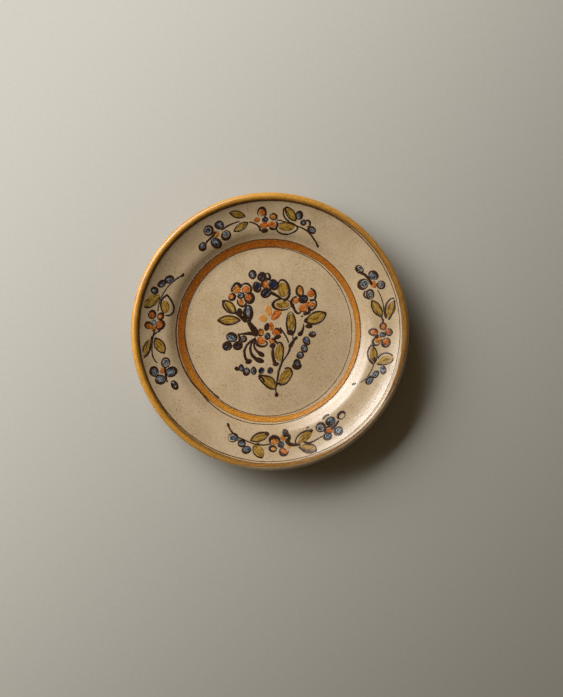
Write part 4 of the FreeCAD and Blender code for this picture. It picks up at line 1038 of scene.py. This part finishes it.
def paintMaterial(name, look):
    # fired brushwork: thin places let the glaze through, and some colours paint a glint there; edges pool
    # dark, which on the rim band is painted shade across its width; and it sits glossy on the glaze
    material, w, skin = newMaterial(name)
    load = placeGroup(w, brushLoad, {
        "Streak Length": look["streakLength"], "Streak Width": look["streakWidth"],
        "Pool Width": look["poolWidth"], "Dryness": look["dryness"],
    })
    kiln = placeGroup(w, kilnSkin, {"Peel": look["peel"], "Pinholes": look["pinholes"]})
    # main to other by tone: at random from mark to mark, and round the well and rim bands a painted shade,
    # darker on the upper left
    shade = w.blend(w.span(load.outputs["Tone"], 0.0, 1.0), look["main"], look["other"])
    streaks = w.maths("MULTIPLY", w.span(load.outputs["Streak"], *look["streakSpan"]), look["streaks"])
    shade = w.blend(streaks, shade, look["streak"])
    # thin places: the glaze showing through, and in the blue, cobalt and orange marks a painted glint
    shade = w.blend(w.maths("MULTIPLY", load.outputs["Thin"], look["show"]), shade, look["thin"])
    # edges pool dark; across the rim band this darkening is painted shade
    shade = w.blend(w.maths("MULTIPLY", load.outputs["Pool"], look["pool"]), shade, look["edge"])
    shade = w.grainy(shade, load.outputs["Grain"], look["grain"])
    w.join(shade, skin.inputs["Base Color"])
    glossy, dull = look["rough"] - look["glossier"], look["rough"] + look["duller"]
    w.join(w.span(kiln.outputs["Gloss"], 0.3, 0.7, glossy, dull), skin.inputs["Roughness"])
    ridges = w.maths("MULTIPLY", load.outputs["Streak"], look["ridge"])
    height = w.maths("ADD", kiln.outputs["Height"], ridges)
    bumps = {"Height": height, "Strength": look["bump"], "Distance": look["bumpDepth"]}
    bump = w.add("ShaderNodeBump", bumps)
    w.join(bump.outputs["Normal"], skin.inputs["Normal"])
    skin.inputs["IOR"].default_value = look["ior"]
    skin.inputs["Coat Weight"].default_value = look["coat"]
    skin.inputs["Coat Roughness"].default_value = look["coatRough"]
    return material


paintBase = {
    "streakLength": 5.0, "streakWidth": 0.5, "poolWidth": 0.45, "dryness": 0.3, "streaks": 0.5, "show": 0.4,
    "pool": 0.6, "grain": 0.12, "rough": 0.26, "ridge": 1.0, "coat": 0.25, "coatRough": 0.12, "ior": 1.52,
    "peel": 1.2, "pinholes": 0.6, "streakSpan": (0.48, 0.58), "glossier": 0.05, "duller": 0.08, "bump": 0.4,
    "bumpDepth": 0.06 * mm,
}
# main is the well band's orange where lit, and other is its darker red-brown copy, mixed in by the ring's
# tone: painted shade
bandingLook = dict(
    paintBase, main=colour(0.62, 0.255, 0.024), other=colour(0.33, 0.078, 0.005),
    streak=colour(0.46, 0.17, 0.014), thin=colour(0.60, 0.30, 0.06),
    edge=colour(0.24, 0.070, 0.008), streakLength=9.0, streakWidth=1.0, poolWidth=1.2, streaks=0.35,
    dryness=0.4, pool=0.9, grain=0.55, rough=0.28,
)
# the edge colour, spread 4.2 mm in from the inner edge, is painted shade on the lip's inner slope; other,
# mixed in by the ring's tone, is a slightly darker painted-shade copy
rimLook = dict(
    bandingLook, main=colour(0.64, 0.310, 0.060), other=colour(0.60, 0.285, 0.034),
    streak=colour(0.24, 0.090, 0.010), streakLength=90.0, streakWidth=0.9, streaks=0.45, grain=0.3,
    edge=colour(0.12, 0.042, 0.006), poolWidth=4.2, pool=0.95,
)
lineLook = dict(
    paintBase, main=colour(0.060, 0.022, 0.006), other=colour(0.045, 0.016, 0.004),
    streak=colour(0.10, 0.040, 0.012), thin=colour(0.22, 0.11, 0.045),
    edge=colour(0.10, 0.045, 0.014), dryness=0.5, show=0.6, pool=0.4, grain=0.2, coat=0.1,
    rough=0.34,
)
stemLook = dict(
    paintBase, main=colour(0.024, 0.008, 0.003), other=colour(0.036, 0.012, 0.003),
    streak=colour(0.065, 0.024, 0.006), thin=colour(0.12, 0.052, 0.014),
    edge=colour(0.055, 0.020, 0.005), dryness=0.3, show=0.4, pool=0.4, streakWidth=1.0,
    streakLength=3.0, coat=0.12, rough=0.32,
)
outlineLook = dict(
    paintBase, main=colour(0.016, 0.005, 0.002), other=colour(0.036, 0.012, 0.003),
    streak=colour(0.075, 0.026, 0.005), thin=colour(0.17, 0.070, 0.016),
    edge=colour(0.055, 0.020, 0.005), dryness=0.35, poolWidth=0.35, pool=0.4, streakWidth=1.4,
    streakLength=2.0, show=0.5, coat=0.12, rough=0.32,
)
# its grey thin colour is a painted glint where the paint is thin
cobaltLook = dict(
    paintBase, main=colour(0.005, 0.008, 0.022), other=colour(0.006, 0.011, 0.042),
    streak=colour(0.010, 0.016, 0.042), thin=colour(0.17, 0.20, 0.23),
    edge=colour(0.006, 0.005, 0.007), dryness=0.3, show=0.7, poolWidth=0.9, pool=0.9,
    streakWidth=1.0, streakLength=2.4,
)
# its pale grey thin colour is a painted glint where the paint is thin
blueLook = dict(
    paintBase, main=colour(0.022, 0.050, 0.098), other=colour(0.050, 0.080, 0.112),
    streak=colour(0.008, 0.014, 0.030), thin=colour(0.40, 0.42, 0.41),
    edge=colour(0.012, 0.014, 0.022), dryness=0.55, show=0.8, streaks=0.8, streakWidth=1.1,
    streakLength=2.6, poolWidth=1.0, pool=0.9,
)
# its cream thin colour is a painted highlight where the paint is thin
orangeLook = dict(
    paintBase, main=colour(0.55, 0.120, 0.009), other=colour(0.58, 0.215, 0.025),
    streak=colour(0.14, 0.038, 0.004), thin=colour(0.72, 0.44, 0.17),
    edge=colour(0.12, 0.032, 0.004), dryness=0.4, show=0.65, streaks=0.75, streakWidth=1.1,
    streakLength=2.8, poolWidth=0.8, pool=0.8,
)
ochreLook = dict(
    paintBase, main=colour(0.58, 0.22, 0.030), other=colour(0.60, 0.28, 0.05),
    streak=colour(0.62, 0.32, 0.08), thin=colour(0.60, 0.40, 0.20), edge=colour(0.44, 0.15, 0.022),
    dryness=0.45, pool=0.5, ridge=0.6, streakWidth=1.0,
)
leafLook = dict(
    paintBase, main=colour(0.36, 0.192, 0.021), other=colour(0.43, 0.250, 0.036),
    streak=colour(0.085, 0.038, 0.005), thin=colour(0.50, 0.34, 0.10),
    edge=colour(0.12, 0.052, 0.007), streakLength=6.0, streakWidth=1.15, streaks=0.8, dryness=0.5,
    show=0.5, pool=0.7, poolWidth=0.7, grain=0.2, ridge=1.6,
)
markLooks = {
    "stem": ("umberStem", stemLook),
    "outlines": ("umberOutline", outlineLook),
    "cobalt": ("cobaltPool", cobaltLook),
    "blue": ("slateWash", blueLook),
    "orange": ("burntOrange", orangeLook),
    "ochre": ("paleOchre", ochreLook),
    "leaf": ("oliveLeaf", leafLook),
}


def dress(piece, material):
    piece.data.materials.clear()
    piece.data.materials.append(material)


oatmealGlaze = glazeMaterial("oatmealGlaze", oatmealLook)
backOatmeal = glazeMaterial("backOatmeal", backLook)
bareStoneware = glazeMaterial("bareStoneware", clayLook)
ochreBanding = paintMaterial("ochreBanding", bandingLook)
rimBanding = paintMaterial("rimBanding", rimLook)
umberLine = paintMaterial("umberLine", lineLook)
dress(faceGlaze, oatmealGlaze)
dress(backGlaze, backOatmeal)
dress(recessGlaze, backOatmeal)
dress(stonewareBody, bareStoneware)
dress(wellBand, ochreBanding)
dress(rimBand, rimBanding)
for piece in (wellLineInner, wellLineOuter, rimLine):
    dress(piece, umberLine)
markMaterials = {kind: paintMaterial(name, look) for kind, (name, look) in markLooks.items()}
for piece, kind in markPieces.values():
    dress(piece, markMaterials[kind])
print("materials made")


tableLook = {
    "side": 4.0,
    "grain": 300.0,
    "pale": colour(0.512, 0.492, 0.432),
    "deep": colour(0.498, 0.478, 0.418),
    "rough": 0.9,
    "specular": 0.2,
}


def layTable(look):
    side = look["side"] / 2
    corners = [(-side, -side, 0), (side, -side, 0), (side, side, 0), (-side, side, 0)]
    table = fromRows("table", corners, [(0, 1, 2, 3)])
    material, w, skin = newMaterial("paleTable")
    place = w.add("ShaderNodeTexCoord").outputs["Object"]
    tone = w.span(w.cloud(place, look["grain"], 3.0), 0.3, 0.7)
    w.join(w.blend(tone, look["pale"], look["deep"]), skin.inputs["Base Color"])
    skin.inputs["Roughness"].default_value = look["rough"]
    skin.inputs["Specular IOR Level"].default_value = look["specular"]
    dress(table, material)


layTable(tableLook)
print("table laid")
